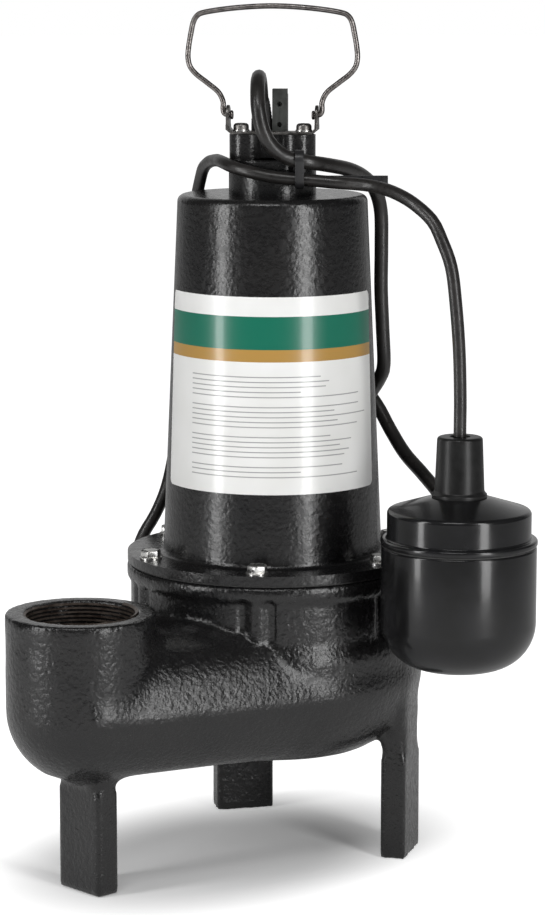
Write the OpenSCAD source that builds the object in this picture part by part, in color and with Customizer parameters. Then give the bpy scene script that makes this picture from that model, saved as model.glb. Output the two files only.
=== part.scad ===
// Submersible sewage and sump pump with a tethered float switch.
// Millimetres, +Z up. The feet stand on z = 0, and the outlet lies towards -X.

/* [Pump casing] */
// Outer radius of the round pump body
casing_r = 82; // [78:0.5:84]
// Height of the body's underside above the floor, which is also the length of a leg
leg_h = 60; // [45:1:80]
// Height of the round body
body_h = 81; // [76:1:90]
// Thickness of the casing's wall
casing_wall = 7; // [5:0.5:9]
// Height of the collar
collar_h = 14; // [10:1:20]
// Thickness of the casing's flange
casing_flange_t = 7.4; // [6:0.2:10]
// Radius of the suction opening in the underside
inlet_r = 30; // [24:1:34]

/* [Outlet] */
// Distance of the outlet from the motor's axis
port_reach = 140.2; // [130:0.2:160]
// Outer radius of the outlet's hub
hub_r = 40; // [38:0.5:44]
// Height of the hub's rim above the floor
hub_top = 152.7; // [148:0.1:170]
// Radius of the outlet's 2 inch pipe thread
port_r = 30; // [26:0.5:33]
// Depth of the outlet's thread
port_depth = 27; // [20:1:32]
// Inner radius of the outlet passage
passage_r = 27; // [22:1:32]

/* [Legs] */
// Width of a leg across
leg_w = 33.5; // [26:0.5:40]
// Thickness of a leg
leg_t = 14.2; // [10:0.2:18]
// Distance from the motor's axis to the middle of the leg under the outlet
port_leg_reach = 136.2; // [130:0.2:142]
// Distance from the motor's axis to the outer face of the two legs under the body
leg_face_r = 81.4; // [76:0.2:81.6]
// Height of the rib that carries on up the body from those two legs
leg_rib_h = 46; // [30:1:50]

/* [Motor housing] */
// Thickness of the housing's flange
motor_flange_t = 5.1; // [4:0.1:8]
// Outer radius of the housing just above its flange
housing_r_low = 61; // [60:0.2:64]
// Outer radius of the housing at its top
housing_r_top = 52.3; // [51.5:0.1:55]
// Height of the housing from flange to top
housing_h = 203.4; // [200:0.2:220]
// Thickness of the housing's wall at its top
housing_wall = 5; // [4:0.2:5.6]
// Outer radius of the neck that carries the cap
neck_r = 24; // [22:0.5:26]
// Height of the neck
neck_h = 13.6; // [12:0.2:24]
// Thickness of the gaskets
gasket_t = 1; // [0.6:0.1:1.6]

/* [Flange screws] */
// Number of screws round the motor flange
screw_count = 6; // [4:1:8]
// Direction of the first screw, in degrees
screw_turn = 40; // [36:1:44]
// Width of the flanges outside the circle that the screws stand on
flange_edge = 8.2; // [7.4:0.2:10]
// Radius of a screw's shank
screw_r = 2.5; // [2:0.1:2.8]
// Radius of the half round bosses below the screws
boss_r = 7; // [5:0.2:8]

/* [Motor] */
// Radius of the stator core
stator_r = 48; // [46:0.2:48.6]
// Height of the stator core
stator_h = 73; // [60:1:76]
// Gap between rotor and stator
air_gap = 0.5; // [0.3:0.1:0.8]
// Radius of the rotor core
rotor_r = 26.7; // [24:0.1:28]
// Radius of the shaft in the lower bearing
shaft_r = 7.5; // [6.5:0.1:8]
// Radius of the shaft's ends
shaft_end_r = 6; // [5:0.1:6.2]
// Radius of the bearing balls
ball_r = 3; // [2.4:0.1:3]
// Balls in each bearing
ball_count = 8; // [6:1:9]

/* [Impeller] */
// Outer radius of the impeller
impeller_r = 52; // [44:1:60]
// Height of the impeller's vanes
vane_h = 18; // [12:1:22]
// Thickness of a vane
vane_t = 4.2; // [3:0.2:6]
// Number of vanes
vane_count = 6; // [4:1:8]

/* [Cap and handle] */
// Height of the cap on the neck
cap_h = 18; // [12:0.2:20]
// Distance of each cap screw from the motor's axis
cap_screw_reach = 17.3; // [16.5:0.1:17.8]
// Radius of the two round columns of the cap
cap_column_r = 9.2; // [8:0.1:10]
// Thickness of the handle's strap
strap_t = 1.6; // [1.2:0.1:2.4]
// Width of the strap
strap_w = 13; // [11:0.5:15]
// Height of the handle's pivot above the strap
pivot_h = 8.8; // [8:0.2:12]
// Direction of the handle's pivot axis, in degrees
handle_turn = -50; // [-60:1:-40]
// Thickness of the handle's wire
wire_d = 3; // [2.6:0.2:4]

/* [Float switch] */
// Clearance between the float and the pump body
float_gap = 3.6; // [3:0.1:12]
// Direction of the float, in degrees
float_turn = -82.3; // [-84:0.1:-80]
// Outer radius of the float's shell
float_r = 41.5; // [38:0.5:41.5]
// Height of the float's underside above the floor
float_low = 118.6; // [110:0.2:130]
// Height of the float's shell
float_h = 66.9; // [60:0.1:70]
// Radius of the float's cap
float_cap_r = 38.5; // [36:0.5:40]
// Height of the float's cap
float_cap_h = 25.5; // [24:0.5:30]
// Thickness of the float's wall
float_wall = 2.5; // [2:0.1:3.5]
// Height of the rubber boot on the float's cap
boot_h = 32.5; // [26:0.5:40]
// Radius of the steel ball that works the switch
switch_ball_r = 6; // [5:0.2:7]

/* [Cords] */
// Thickness of the power cord
power_cord_d = 8; // [7:0.2:8.2]
// Thickness of the float's cord
float_cord_d = 7; // [6:0.2:7.2]

/* [Hidden] */

$fn = 96;
eps = 0.01;
fit = 0.05;             // clearance of a close fit
seat = 0.3;             // clearance of soft and curved faces that rest on each other

// Heights of the main joints between castings
body_top = leg_h + body_h;
collar_top = body_top + collar_h;
casing_top = collar_top + casing_flange_t;
flange_low = casing_top + gasket_t;
flange_top = flange_low + motor_flange_t;
housing_top = flange_low + housing_h;
neck_top = housing_top + neck_h;
cap_low = neck_top + gasket_t;
cap_top = cap_low + cap_h;
strap_top = cap_top + strap_t;
pivot_z = cap_top + pivot_h + strap_t;

// Casing
screw_circle_r = housing_r_low + 12;
flange_r = screw_circle_r + flange_edge;
collar_r = screw_circle_r + 4;
low_round = 38;         // rounding of the body's underside
top_round = 24;         // rounding of the body's shoulder
cavity_round = 22;
passage_z = leg_h + hub_r + 1;
rim_r = screw_circle_r - 4;     // radius of the seal plate's rim, which sits in the mouth
mouth_r = rim_r - 4;
rim_t = 4;
cavity_r = casing_r - casing_wall - 5;
leg_fillet = 9;

// Float
float_rim = float_low + float_h;
lip_t = 3.5;
lip_over = 0.4;
float_reach = max(casing_r, flange_r) + float_gap + float_r + lip_over;
float_x = float_reach * cos(float_turn);
float_y = float_reach * sin(float_turn);
cap_cone_h = 7;
float_gasket_t = 0.8;
float_cap_low = float_rim + float_gasket_t;
float_cap_top = float_cap_low + float_cap_h;
boot_top = float_cap_top + boot_h;
boot_r_low = 13.5;
boot_r_top = 12.3;

// The motor's axis, seen from the middle of the whole pump's footprint
shaft_x = (port_reach + hub_r - casing_r) / 2;
shaft_y = (float_r + lip_over - float_y - casing_r) / 2;

black_paint = [0.09, 0.09, 0.09];
plastic = [0.05, 0.05, 0.055];
steel = [0.62, 0.62, 0.64];
copper = [0.72, 0.42, 0.2];
rubber = [0.13, 0.12, 0.12];
cord_grey = [0.2, 0.18, 0.18];

module on_shaft() { translate([shaft_x, shaft_y, 0]) children(); }
module up(z) { translate([0, 0, z]) children(); }
module at_float() { on_shaft() translate([float_x, float_y, 0]) children(); }
module on_screws() {
    on_shaft() for (i = [0 : screw_count - 1])
        rotate(screw_turn + 360 * i / screw_count) translate([screw_circle_r, 0, 0]) children();
}
module ring(outer, inner, h) {
    difference() {
        cylinder(r = outer, h = h);
        up(-1) cylinder(r = inner, h = h + 2);
    }
}

// ---- Pump casing ----

// Half section of a round tub with its own low and top rounding
module tub_section(r, low, top, r_low, r_top) {
    translate([0, low]) square([r - r_low, top - low]);
    translate([0, low + r_low]) square([r, top - low - r_low - r_top]);
    translate([0, low]) square([r - r_top, top - low]);
    intersection() {
        union() {
            translate([r - r_low, low + r_low]) circle(r = r_low);
            translate([r - r_top, top - r_top]) circle(r = r_top);
        }
        square([r + 1, top + 1]);
    }
}

// One leg, with a fillet on each side where it runs into the casting
module leg(rise, fillet, fillet_top) {
    rotate([90, 0, 90]) translate([0, 0, -leg_t / 2]) linear_extrude(leg_t) {
        translate([-leg_w / 2, 0]) square([leg_w, leg_h + rise]);
        for (side = [-1, 1]) scale([side, 1]) difference() {
            translate([leg_w / 2 - eps, leg_h + fillet_top - fillet]) square([fillet, fillet + 6]);
            translate([leg_w / 2 + fillet, leg_h + fillet_top - fillet]) circle(r = fillet);
        }
    }
}

module passage(r, top) {
    translate([-port_reach, 0, passage_z]) {
        sphere(r = r);
        rotate([0, 90, 0]) cylinder(r = r, h = port_reach - 45);
        cylinder(r = r, h = top - passage_z);
    }
}

// The snail-shaped way from the round body, of radius body, to the outlet's passage, of radius r: a round
// edge on each side runs from the outlet to the body, and lies just inside both where it meets them
module volute_way(r, body) {
    edge_r = r - 0.4;
    side = acos((body - r) / port_reach);
    meet = [-(body - r) * cos(side), (body - r) * sin(side)];
    for (s = [-1, 1]) scale([1, s, 1]) translate([-port_reach, 0, passage_z])
        rotate([0, 90, atan2(meet.y, meet.x + port_reach)])
            cylinder(r = edge_r, h = norm([meet.x + port_reach, meet.y]));
    translate([0, 0, passage_z - edge_r + 0.4]) linear_extrude(2 * edge_r - 0.8)
        polygon([[-port_reach, 0], [meet.x, -meet.y], [meet.x, meet.y]]);
}

module casing_outside() {
    rotate_extrude() {
        tub_section(casing_r, leg_h, body_top, low_round, top_round);
        translate([0, body_top - top_round]) square([collar_r, collar_top - body_top + top_round]);
        translate([0, collar_top]) square([flange_r, casing_flange_t]);
    }
    passage(hub_r, hub_top);
    volute_way(hub_r, casing_r);
    translate([-port_leg_reach, 0, 0]) leg(20, leg_fillet, 8);
    for (side = [-60, 60]) rotate(side) translate([leg_face_r - leg_t / 2, 0, 0]) leg(leg_rib_h, 3, 16);
}

module volute_casing() {
    color(black_paint) difference() {
        union() {
            on_shaft() casing_outside();
            on_screws() up(body_top - top_round) cylinder(r = boss_r, h = top_round + collar_h + eps);
        }
        on_shaft() {
            rotate_extrude() {
                tub_section(cavity_r, leg_h + casing_wall, body_top - 2, cavity_round, cavity_round);
                translate([0, body_top - 20]) square([mouth_r, casing_top - body_top + 21]);
                translate([0, casing_top - rim_t]) square([rim_r, rim_t + 1]);
            }
            up(leg_h - 1) cylinder(r = inlet_r, h = casing_wall + 3);
            passage(passage_r, hub_top - port_depth + eps);
            volute_way(passage_r, cavity_r);
            translate([-port_reach, 0, hub_top - port_depth]) cylinder(r = port_r, h = port_depth + 1);
        }
        on_screws() up(collar_top - 12) cylinder(r = screw_r + fit, h = 12 + casing_flange_t + 1);
    }
}

module casing_gasket() {
    color("dimgray") difference() {
        on_shaft() up(casing_top) ring(flange_r - 1.2, mouth_r - 2, gasket_t);
        on_screws() up(casing_top - 1) cylinder(r = screw_r + 0.3, h = gasket_t + 2);
    }
}

// ---- Seal plate, which closes the casing and carries the lower bearing and the seal ----

plate_low = body_top + 5;
bearing_low = casing_top + 5.6;
lower_bearing_h = 11;
lower_race_r = 17.5;
upper_bearing_h = 10;
upper_race_r = 16;
plate_hub_r = 22;
seat_r = 14;
seat_depth = 6;
groove_z = plate_low + 5;
groove_h = 3;
groove_r = mouth_r - 2.8;

module seal_plate() {
    color(black_paint) on_shaft() difference() {
        rotate_extrude() {
            translate([0, plate_low]) square([mouth_r - fit, casing_top - plate_low]);
            translate([0, casing_top - rim_t]) square([rim_r - fit, rim_t]);
            translate([0, plate_low]) square([plate_hub_r, bearing_low + lower_bearing_h - plate_low]);
        }
        rotate_extrude() {
            translate([0, bearing_low]) square([lower_race_r + fit, lower_bearing_h + 1]);
            translate([0, plate_low - 1]) square([shaft_r + 1.5, bearing_low - plate_low + 2]);
            translate([0, plate_low - 1]) square([seat_r, seat_depth + 1]);
            translate([groove_r, groove_z]) square([10, groove_h]);
            translate([plate_hub_r + 8, casing_top - 6]) square([mouth_r - plate_hub_r - 16, 7]);
        }
    }
}

module seal_plate_o_ring() {
    section_r = (mouth_r - groove_r) / 2 - fit;
    color(rubber) on_shaft() rotate_extrude()
        translate([mouth_r - fit - section_r, groove_z + groove_h / 2]) circle(r = section_r, $fn = 32);
}

// ---- Motor housing ----

base_fillet = 2.5;
top_edge_r = 4;
lower_room_r = housing_r_low - 9;
lower_room_top = flange_low + 41.6;
stator_low = lower_room_top + 7;
stator_top = stator_low + stator_h;
bracket_top = stator_top + 39;
bracket_t = 8;
upper_room_r = 45;
bracket_r = 46.5;
snap_ring_t = 1.6;
neck_bore = 12;
ceiling_z = housing_top - housing_wall - 0.8;

module motor_housing() {
    color(black_paint) difference() {
        on_shaft() rotate_extrude() difference() {
            union() {
                translate([0, flange_low]) square([flange_r - 0.2, motor_flange_t]);
                polygon([[0, flange_low], [housing_r_low, flange_low], [housing_r_low, flange_top],
                    [housing_r_top, housing_top - top_edge_r], [housing_r_top - top_edge_r, housing_top],
                    [0, housing_top]]);
                translate([housing_r_top - top_edge_r, housing_top - top_edge_r]) circle(r = top_edge_r);
                translate([0, housing_top - eps]) square([neck_r, neck_h + eps]);
                difference() {
                    translate([0, flange_top - eps]) square([housing_r_low + base_fillet, base_fillet]);
                    translate([housing_r_low + base_fillet, flange_top + base_fillet])
                        circle(r = base_fillet, $fn = 48);
                }
            }
            translate([-1, flange_low - 1]) square([lower_room_r + 1, lower_room_top - flange_low + 1]);
            translate([-1, lower_room_top - 1]) square([stator_r + fit + 1, stator_top - lower_room_top + 1]);
            translate([-1, stator_top - 1]) square([bracket_r + 1, bracket_top - stator_top + 1]);
            translate([-1, bracket_top - 1]) square([upper_room_r + 1, ceiling_z - bracket_top + 1]);
            translate([-1, ceiling_z - 1]) square([neck_bore + 1, 60]);
        }
        on_screws() up(flange_low - 1) cylinder(r = screw_r + 0.3, h = motor_flange_t + 2);
        cap_screw_places() up(cap_low - 14) cylinder(r = cap_screw_r + fit, h = 20);
    }
}

screw_head_r = 5.6;
screw_head_h = 4.2;
screw_washer_t = 1;

module flange_screws() {
    color(steel) on_screws() {
        up(flange_top + screw_washer_t) cylinder(r = screw_head_r, h = screw_head_h, $fn = 6);
        up(collar_top - 8) cylinder(r = screw_r, h = flange_top - collar_top + 8 + screw_washer_t + eps);
    }
}

module flange_washers() {
    color(steel) on_screws() up(flange_top) ring(screw_head_r + 0.5, screw_r + 0.3, screw_washer_t);
}

// ---- Stator and rotor ----

slot_count = 24;
slot_r = 2.4;
slot_circle_r = 36;

module stator_core() {
    color("slategray") on_shaft() up(stator_low) linear_extrude(stator_h) difference() {
        circle(r = stator_r);
        circle(r = rotor_r + air_gap);
        for (i = [0 : slot_count - 1]) rotate(360 * i / slot_count) {
            translate([slot_circle_r, 0]) circle(r = slot_r, $fn = 24);
            translate([rotor_r, -0.8]) square([slot_circle_r - rotor_r, 1.6]);
        }
    }
}

module winding() {
    rotate_extrude() translate([slot_circle_r, 8]) {
        translate([-2.5, 0]) circle(r = 5.5, $fn = 40);
        translate([2.5, 0]) circle(r = 5.5, $fn = 40);
        translate([-2.5, -5.5]) square([5, 11]);
        translate([-6, -8]) square([12, 8]);
    }
}

module stator_windings() {
    color(copper) on_shaft() {
        up(stator_top) winding();
        up(stator_low) mirror([0, 0, 1]) winding();
    }
}

upper_bearing_low = bracket_top - 4 - upper_bearing_h;

module rotor_core() {
    color("lightslategray") on_shaft() up(stator_low) linear_extrude(stator_h) difference() {
        circle(r = rotor_r);
        circle(r = shaft_r + 1.5 + fit / 2);
    }
}

module rotor_end_rings() {
    color("silver") on_shaft() for (z = [stator_low - 6, stator_top]) up(z) ring(rotor_r - 2.5, shaft_r + 6, 6);
}

seal_gap = 0.05;
seal_ring_h = 5.5;
seal_ring_low = plate_low + 0.5 - seal_gap - seal_ring_h;
spring_h = 4.95;
shroud_t = 5;
vane_lift = 2;          // how far the hub stands out below the vanes
impeller_hub_r = 12.5;
hub_top_z = seal_ring_low - spring_h;
impeller_low = hub_top_z - 3 - shroud_t - vane_h;
shaft_tip = 9;          // how far the shaft reaches below the impeller

module motor_shaft() {
    color("gainsboro") on_shaft() {
        up(impeller_low - shaft_tip) cylinder(r = shaft_end_r, h = hub_top_z - impeller_low + shaft_tip + eps);
        up(hub_top_z) cylinder(r = shaft_r, h = stator_low - 8 - hub_top_z);
        up(stator_low - 8 - eps) cylinder(r = shaft_r + 1.5, h = stator_h + 16);
        up(stator_top + 8 - 2 * eps)
            cylinder(r = shaft_end_r, h = upper_bearing_low + upper_bearing_h - stator_top - 8);
    }
}

// ---- Bearings ----

// One race of a ball bearing, with its groove, from radius a to radius b
module race(a, b, h, pitch) {
    rotate_extrude() difference() {
        translate([a, 0]) square([b - a, h]);
        translate([pitch, h / 2]) circle(r = ball_r + fit, $fn = 64);
    }
}

module balls(pitch, h) {
    for (i = [0 : ball_count - 1])
        rotate(360 * i / ball_count) translate([pitch, 0, h / 2]) sphere(r = ball_r, $fn = 48);
}

module cage(pitch, h) {
    difference() {
        up(h / 2 - ball_r - 1) ring(pitch + 0.6, pitch - 0.6, 2 * ball_r + 2);
        for (i = [0 : ball_count - 1]) rotate(360 * i / ball_count)
            translate([pitch - 2, 0, h / 2]) rotate([0, 90, 0]) cylinder(r = ball_r + 0.1, h = 4);
    }
}

lower_pitch = (shaft_r + lower_race_r) / 2;
upper_pitch = (shaft_end_r + upper_race_r) / 2;
race_share = 0.72;      // how much of a ball's radius each race reaches past

module on_lower_bearing() { on_shaft() up(bearing_low) children(); }
module on_upper_bearing() { on_shaft() up(upper_bearing_low) children(); }
module lower_bearing_outer_race() {
    color(steel) on_lower_bearing()
        race(lower_pitch + ball_r * race_share, lower_race_r, lower_bearing_h, lower_pitch);
}
module lower_bearing_inner_race() {
    color(steel) on_lower_bearing()
        race(shaft_r + fit, lower_pitch - ball_r * race_share, lower_bearing_h, lower_pitch);
}
module lower_bearing_balls() { color("white") on_lower_bearing() balls(lower_pitch, lower_bearing_h); }
module lower_bearing_cage() { color(copper) on_lower_bearing() cage(lower_pitch, lower_bearing_h); }
module upper_bearing_outer_race() {
    color(steel) on_upper_bearing()
        race(upper_pitch + ball_r * race_share, upper_race_r, upper_bearing_h, upper_pitch);
}
module upper_bearing_inner_race() {
    color(steel) on_upper_bearing()
        race(shaft_end_r + fit, upper_pitch - ball_r * race_share, upper_bearing_h, upper_pitch);
}
module upper_bearing_balls() { color("white") on_upper_bearing() balls(upper_pitch, upper_bearing_h); }
module upper_bearing_cage() { color(copper) on_upper_bearing() cage(upper_pitch, upper_bearing_h); }

// Bracket under the wiring room, which holds the upper bearing
module bearing_bracket() {
    color("darkgray") on_shaft() difference() {
        union() {
            up(bracket_top - bracket_t) cylinder(r = bracket_r - fit, h = bracket_t);
            up(upper_bearing_low - 1) cylinder(r = upper_race_r + 5, h = upper_bearing_h + 3);
        }
        up(upper_bearing_low - 2) cylinder(r = upper_race_r + fit, h = upper_bearing_h + 2);
        for (a = [45 : 90 : 315])
            rotate(a) translate([34, 0, bracket_top - bracket_t - 1]) cylinder(r = 5, h = bracket_t + 2);
    }
}

module bracket_snap_ring() {
    color(steel) on_shaft() up(bracket_top - bracket_t - snap_ring_t) linear_extrude(snap_ring_t) difference() {
        circle(r = bracket_r - fit);
        circle(r = bracket_r - 3);
        translate([0, -4]) square([60, 8]);
    }
}

// ---- Shaft seal ----

module seal_seat() {
    color("ivory") on_shaft() up(plate_low + 0.5) ring(seat_r - fit, shaft_r + 1, seat_depth - 0.5);
}

module seal_ring() {
    color("dimgray") on_shaft() up(seal_ring_low) ring(seat_r - 1.5, shaft_r + fit, seal_ring_h);
}

// ---- Impeller ----

// A vane is an arc that starts on the axis and ends at the rim
module vane() {
    up(vane_lift) intersection() {
        cylinder(r = impeller_r - 0.5, h = vane_h);
        translate([0, -impeller_r]) ring(impeller_r + vane_t / 2, impeller_r - vane_t / 2, vane_h);
        translate([2, -impeller_r, 0]) cube([impeller_r, 2 * impeller_r, vane_h]);
    }
}

module impeller() {
    color("darkkhaki") on_shaft() difference() {
        up(impeller_low) {
            up(vane_h) cylinder(r = impeller_r, h = shroud_t);
            cylinder(r = impeller_hub_r, h = hub_top_z - impeller_low);
            for (i = [0 : vane_count - 1]) rotate(360 * i / vane_count) vane();
        }
        up(impeller_low - 1) cylinder(r = shaft_end_r + fit, h = hub_top_z - impeller_low + 2);
    }
}

nut_h = 6.5;
washer_t = 1.5;

module impeller_washer() {
    color(steel) on_shaft() up(impeller_low - washer_t) ring(shaft_end_r + 5, shaft_end_r + fit, washer_t);
}

module impeller_nut() {
    color(steel) on_shaft() up(impeller_low - washer_t - nut_h) difference() {
        cylinder(r = shaft_end_r + 4, h = nut_h, $fn = 6);
        up(-1) cylinder(r = shaft_end_r + fit, h = nut_h + 2);
    }
}

// ---- Swept tubes, for the handle's wire, the spring and the cords ----

function unit(v) = v / norm(v);
function directions(p) = [for (i = [0 : len(p) - 1]) unit(p[min(i + 1, len(p) - 1)] - p[max(i - 1, 0)])];
function square_to(v, t) = unit(v - (v * t) * t);
function any_side(t) = square_to(abs(t.z) > 0.8 ? [1, 0, 0] : [0, 0, 1], t);
function sides_along(t) = [for (i = 0, n = any_side(t[0]); i < len(t);
    i = i + 1, n = i < len(t) ? square_to(n, t[i]) : n) n];

module tube(points, r, sides) {
    t = directions(points);
    n = sides_along(t);
    last = len(points) - 1;
    radii = is_list(r) ? r : [for (p = points) r];
    rings = [for (i = [0 : last]) for (k = [0 : sides - 1])
        points[i] + radii[i] * (cos(360 * k / sides) * n[i] + sin(360 * k / sides) * cross(t[i], n[i]))];
    walls = [for (i = [0 : last - 1]) for (k = [0 : sides - 1])
        let (a = i * sides + k, b = i * sides + (k + 1) % sides) each [[a, b, a + sides], [b, b + sides, a + sides]]];
    ends = [for (k = [1 : sides - 2])
        each [[0, k + 1, k], [last * sides, last * sides + k, last * sides + k + 1]]];
    polyhedron(points = rings, faces = [for (f = concat(walls, ends)) [f[0], f[2], f[1]]]);
}

spring_wire_r = 0.6;
spring_r = 10.4;
spring_turns = 2;

module seal_spring() {
    low = hub_top_z + spring_wire_r + 0.05;
    rise = seal_ring_low - spring_wire_r - 0.05 - low;
    steps = 16;
    color(steel) on_shaft() tube([for (i = [0 : spring_turns * steps])
        [spring_r * cos(360 * i / steps), spring_r * sin(360 * i / steps), low + rise * i / (spring_turns * steps)]],
        spring_wire_r, 6);
}

// ---- Wiring room ----

capacitor_r = 13.5;
capacitor_l = 54;
clip_t = 1;
capacitor_y = 17;

module lying(l) { translate([-l / 2, 0, 0]) rotate([0, 90, 0]) children(); }

module run_capacitor() {
    color("lightsteelblue") on_shaft() translate([0, capacitor_y, bracket_top + clip_t + capacitor_r]) {
        lying(capacitor_l) cylinder(r = capacitor_r, h = capacitor_l);
        for (side = [-1, 1]) translate([capacitor_l / 2 - eps, side * 5, 0])
            rotate([0, 90, 0]) cylinder(r = 1.6, h = 5 + eps);
    }
}

module capacitor_clip() {
    clip_w = 12;
    color(steel) on_shaft() translate([0, capacitor_y, bracket_top + clip_t + capacitor_r]) {
        lying(clip_w) ring(capacitor_r + fit + clip_t - fit, capacitor_r + fit, clip_w);
        translate([-clip_w / 2, -17, -capacitor_r - clip_t]) difference() {
            cube([clip_w, 34, clip_t]);
            translate([-1, 17, capacitor_r + clip_t]) rotate([0, 90, 0])
                cylinder(r = capacitor_r + fit, h = clip_w + 2);
        }
    }
}

module overload_protector() {
    color("saddlebrown") on_shaft() translate([0, -24, bracket_top]) {
        cylinder(r = 10, h = 9);
        up(9 - eps) cylinder(r = 7, h = 3);
        for (side = [-1, 1]) translate([side * 6.5 - 0.4, -1.5, 9 - eps]) cube([0.8, 3, 8]);
    }
}

// ---- Cap, strap and bail handle ----

cap_screw_r = 2.1;
cap_head_r = 4.25;
cap_head_h = 4.6;
cap_washer_t = 0.8;
cap_flange_h = 4.5;
gland_x = -7;           // place of the power cord's gland along and across the handle's axis
gland_y = 9.5;
gland_r = 5.8;
gland_h = 7;
clamp_x = 3.2;
clamp_y = 9.5;
clamp_w = 8;
clamp_h = 24.4;

module along_handle() { on_shaft() rotate(handle_turn) children(); }
module cap_screw_places() {
    along_handle() for (side = [-1, 1]) translate([side * cap_screw_reach, 0, 0]) children();
}

module top_cap() {
    column = cap_screw_reach - 2.8;
    color(black_paint) difference() {
        along_handle() up(cap_low) {
            cylinder(r = neck_r, h = cap_flange_h);
            for (side = [-1, 1]) translate([side * column, 0, 0]) cylinder(r = cap_column_r, h = cap_h);
            translate([-column, -2, 0]) cube([2 * column, 18, cap_h]);
        }
        cap_screw_places() up(cap_low - 1) cylinder(r = cap_screw_r + fit, h = cap_h + 2);
        along_handle() translate([gland_x, gland_y, cap_low - 1])
            cylinder(r = power_cord_d / 2 + fit, h = cap_h + 2);
        along_handle() up(cap_low - 1) cylinder(r = neck_bore, h = 6);
    }
}

module cap_gasket() {
    color(rubber) difference() {
        on_shaft() up(neck_top) ring(neck_r - 0.4, neck_bore, gasket_t);
        cap_screw_places() up(neck_top - 1) cylinder(r = cap_screw_r + 0.2, h = gasket_t + 2);
    }
}

module cap_screws() {
    color(steel) cap_screw_places() {
        up(strap_top + cap_washer_t) intersection() {
            cylinder(r = cap_head_r, h = cap_head_h);
            up(-4.4) sphere(r = cap_head_h + 4.4);
        }
        up(cap_low - 12) cylinder(r = cap_screw_r, h = strap_top - cap_low + 12 + cap_washer_t + eps);
    }
}

module cap_screw_washers() {
    color(steel) cap_screw_places() up(strap_top)
        ring(bend_x - cap_screw_reach - fit, cap_screw_r + 0.2, cap_washer_t);
}

ear_r = 5.4;
ear_x = 24.4;           // middle of an ear's thickness
bend_x = 22;            // where the strap turns up
bend_rise = 3.4;
hole_gap = 0.08;
wire_r = wire_d / 2;
wire_x = ear_x + strap_t / 2 + 0.5 + wire_r;
peen_t = 1.6;

module handle_strap() {
    h = strap_t / 2;
    color(steel) along_handle() difference() {
        union() {
            translate([-bend_x, -strap_w / 2, cap_top]) cube([2 * bend_x, strap_w, strap_t]);
            for (side = [-1, 1]) scale([side, 1, 1]) {
                translate([0, strap_w / 2, cap_top]) rotate([90, 0, 0]) linear_extrude(strap_w) polygon([
                    [bend_x - 1, 0], [bend_x, 0], [ear_x + h, bend_rise - h], [ear_x + h, bend_rise + 2],
                    [ear_x - h, bend_rise + 2], [ear_x - h, bend_rise], [bend_x, strap_t], [bend_x - 1, strap_t]]);
                intersection() {
                    translate([ear_x - h, -strap_w / 2, cap_top + bend_rise + 1])
                        cube([strap_t, strap_w, pivot_h + ear_r]);
                    translate([ear_x - h, 0, pivot_z]) rotate([0, 90, 0]) union() {
                        cylinder(r = ear_r, h = strap_t);
                        translate([0, -ear_r, 0]) cube([pivot_h + 2, 2 * ear_r, strap_t]);
                    }
                }
            }
        }
        for (side = [-1, 1]) translate([side * cap_screw_reach, 0, cap_top - 1])
            cylinder(r = cap_screw_r + 0.2, h = strap_t + 2);
        for (side = [-1, 1]) translate([side * ear_x - strap_t, 0, pivot_z])
            rotate([0, 90, 0]) cylinder(r = wire_r + hole_gap, h = 2 * strap_t);
        translate([gland_x, gland_y, cap_top - 1]) cylinder(r = gland_r + 0.3, h = strap_t + 2);
        translate([clamp_x - clamp_w / 2 - 0.3, clamp_y - clamp_w / 2 - 0.3, cap_top - 1])
            cube([clamp_w + 0.6, clamp_w + 0.6, strap_t + 2]);
    }
}

// The wire's bow from one ear over the top to the other: sideways distance, height above the pivot
bow = [[wire_x, 0], [wire_x, 7], [29.7, 12.4], [36, 17.5], [42, 22], [45.2, 26], [46.6, 30.5], [46.2, 36],
    [44.8, 44], [43.6, 50.5], [41.6, 53.8], [38, 55.4], [25.5, 57.4], [12, 58.6], [0, 59]];
bow_path = concat([for (p = bow) [p.x, 0, p.y]], [for (i = [len(bow) - 2 : -1 : 0]) [-bow[i].x, 0, bow[i].y]]);

module bail_handle() {
    color("gray") along_handle() up(pivot_z) {
        tube(bow_path, wire_r, 12);
        for (side = [-1, 1]) scale([side, 1, 1]) {
            translate([wire_x, 0, 0]) sphere(r = wire_r + 0.02, $fn = 48);
            translate([ear_x - strap_t / 2 - 0.4 - peen_t, 0, 0]) rotate([0, 90, 0]) {
                cylinder(r = wire_r, h = wire_x - ear_x + strap_t / 2 + 0.4 + peen_t);
                cylinder(r = wire_r + 1, h = peen_t);
            }
        }
    }
}

module cord_gland() {
    color(rubber) along_handle() translate([gland_x, gland_y, cap_top])
        ring(gland_r, power_cord_d / 2 + fit, gland_h);
}

module cord_clamp() {
    color([0.24, 0.25, 0.24]) along_handle() translate([clamp_x, clamp_y, cap_top]) difference() {
        translate([-clamp_w / 2, -clamp_w / 2, 0]) cube([clamp_w, clamp_w, clamp_h]);
        for (z = [clamp_h * 0.2, clamp_h * 0.66]) translate([0, -clamp_w / 2 - 1, z])
            rotate([-90, 0, 0]) cylinder(r = 1.4, h = 4);
        translate([-clamp_w / 2 - 1, clamp_w / 2 - 2, clamp_h - 3]) cube([clamp_w + 2, 3, 4]);
    }
}

// ---- Cords. Their points are sideways distance, depth behind the motor's axis, and height ----

cord_turn = -43.5;      // direction of the sideways axis, in degrees
module cord_side() { on_shaft() rotate(cord_turn) children(); }
function turned(x, y, a) = [x * cos(a) - y * sin(a), x * sin(a) + y * cos(a)];

cord_steps = 24;        // rings in a loop of a coil
cord_r = power_cord_d / 2;
float_cord_r = float_cord_d / 2;
gland_place = turned(gland_x, gland_y, handle_turn - cord_turn);
float_place = turned(float_x, float_y, -cord_turn);

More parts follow.
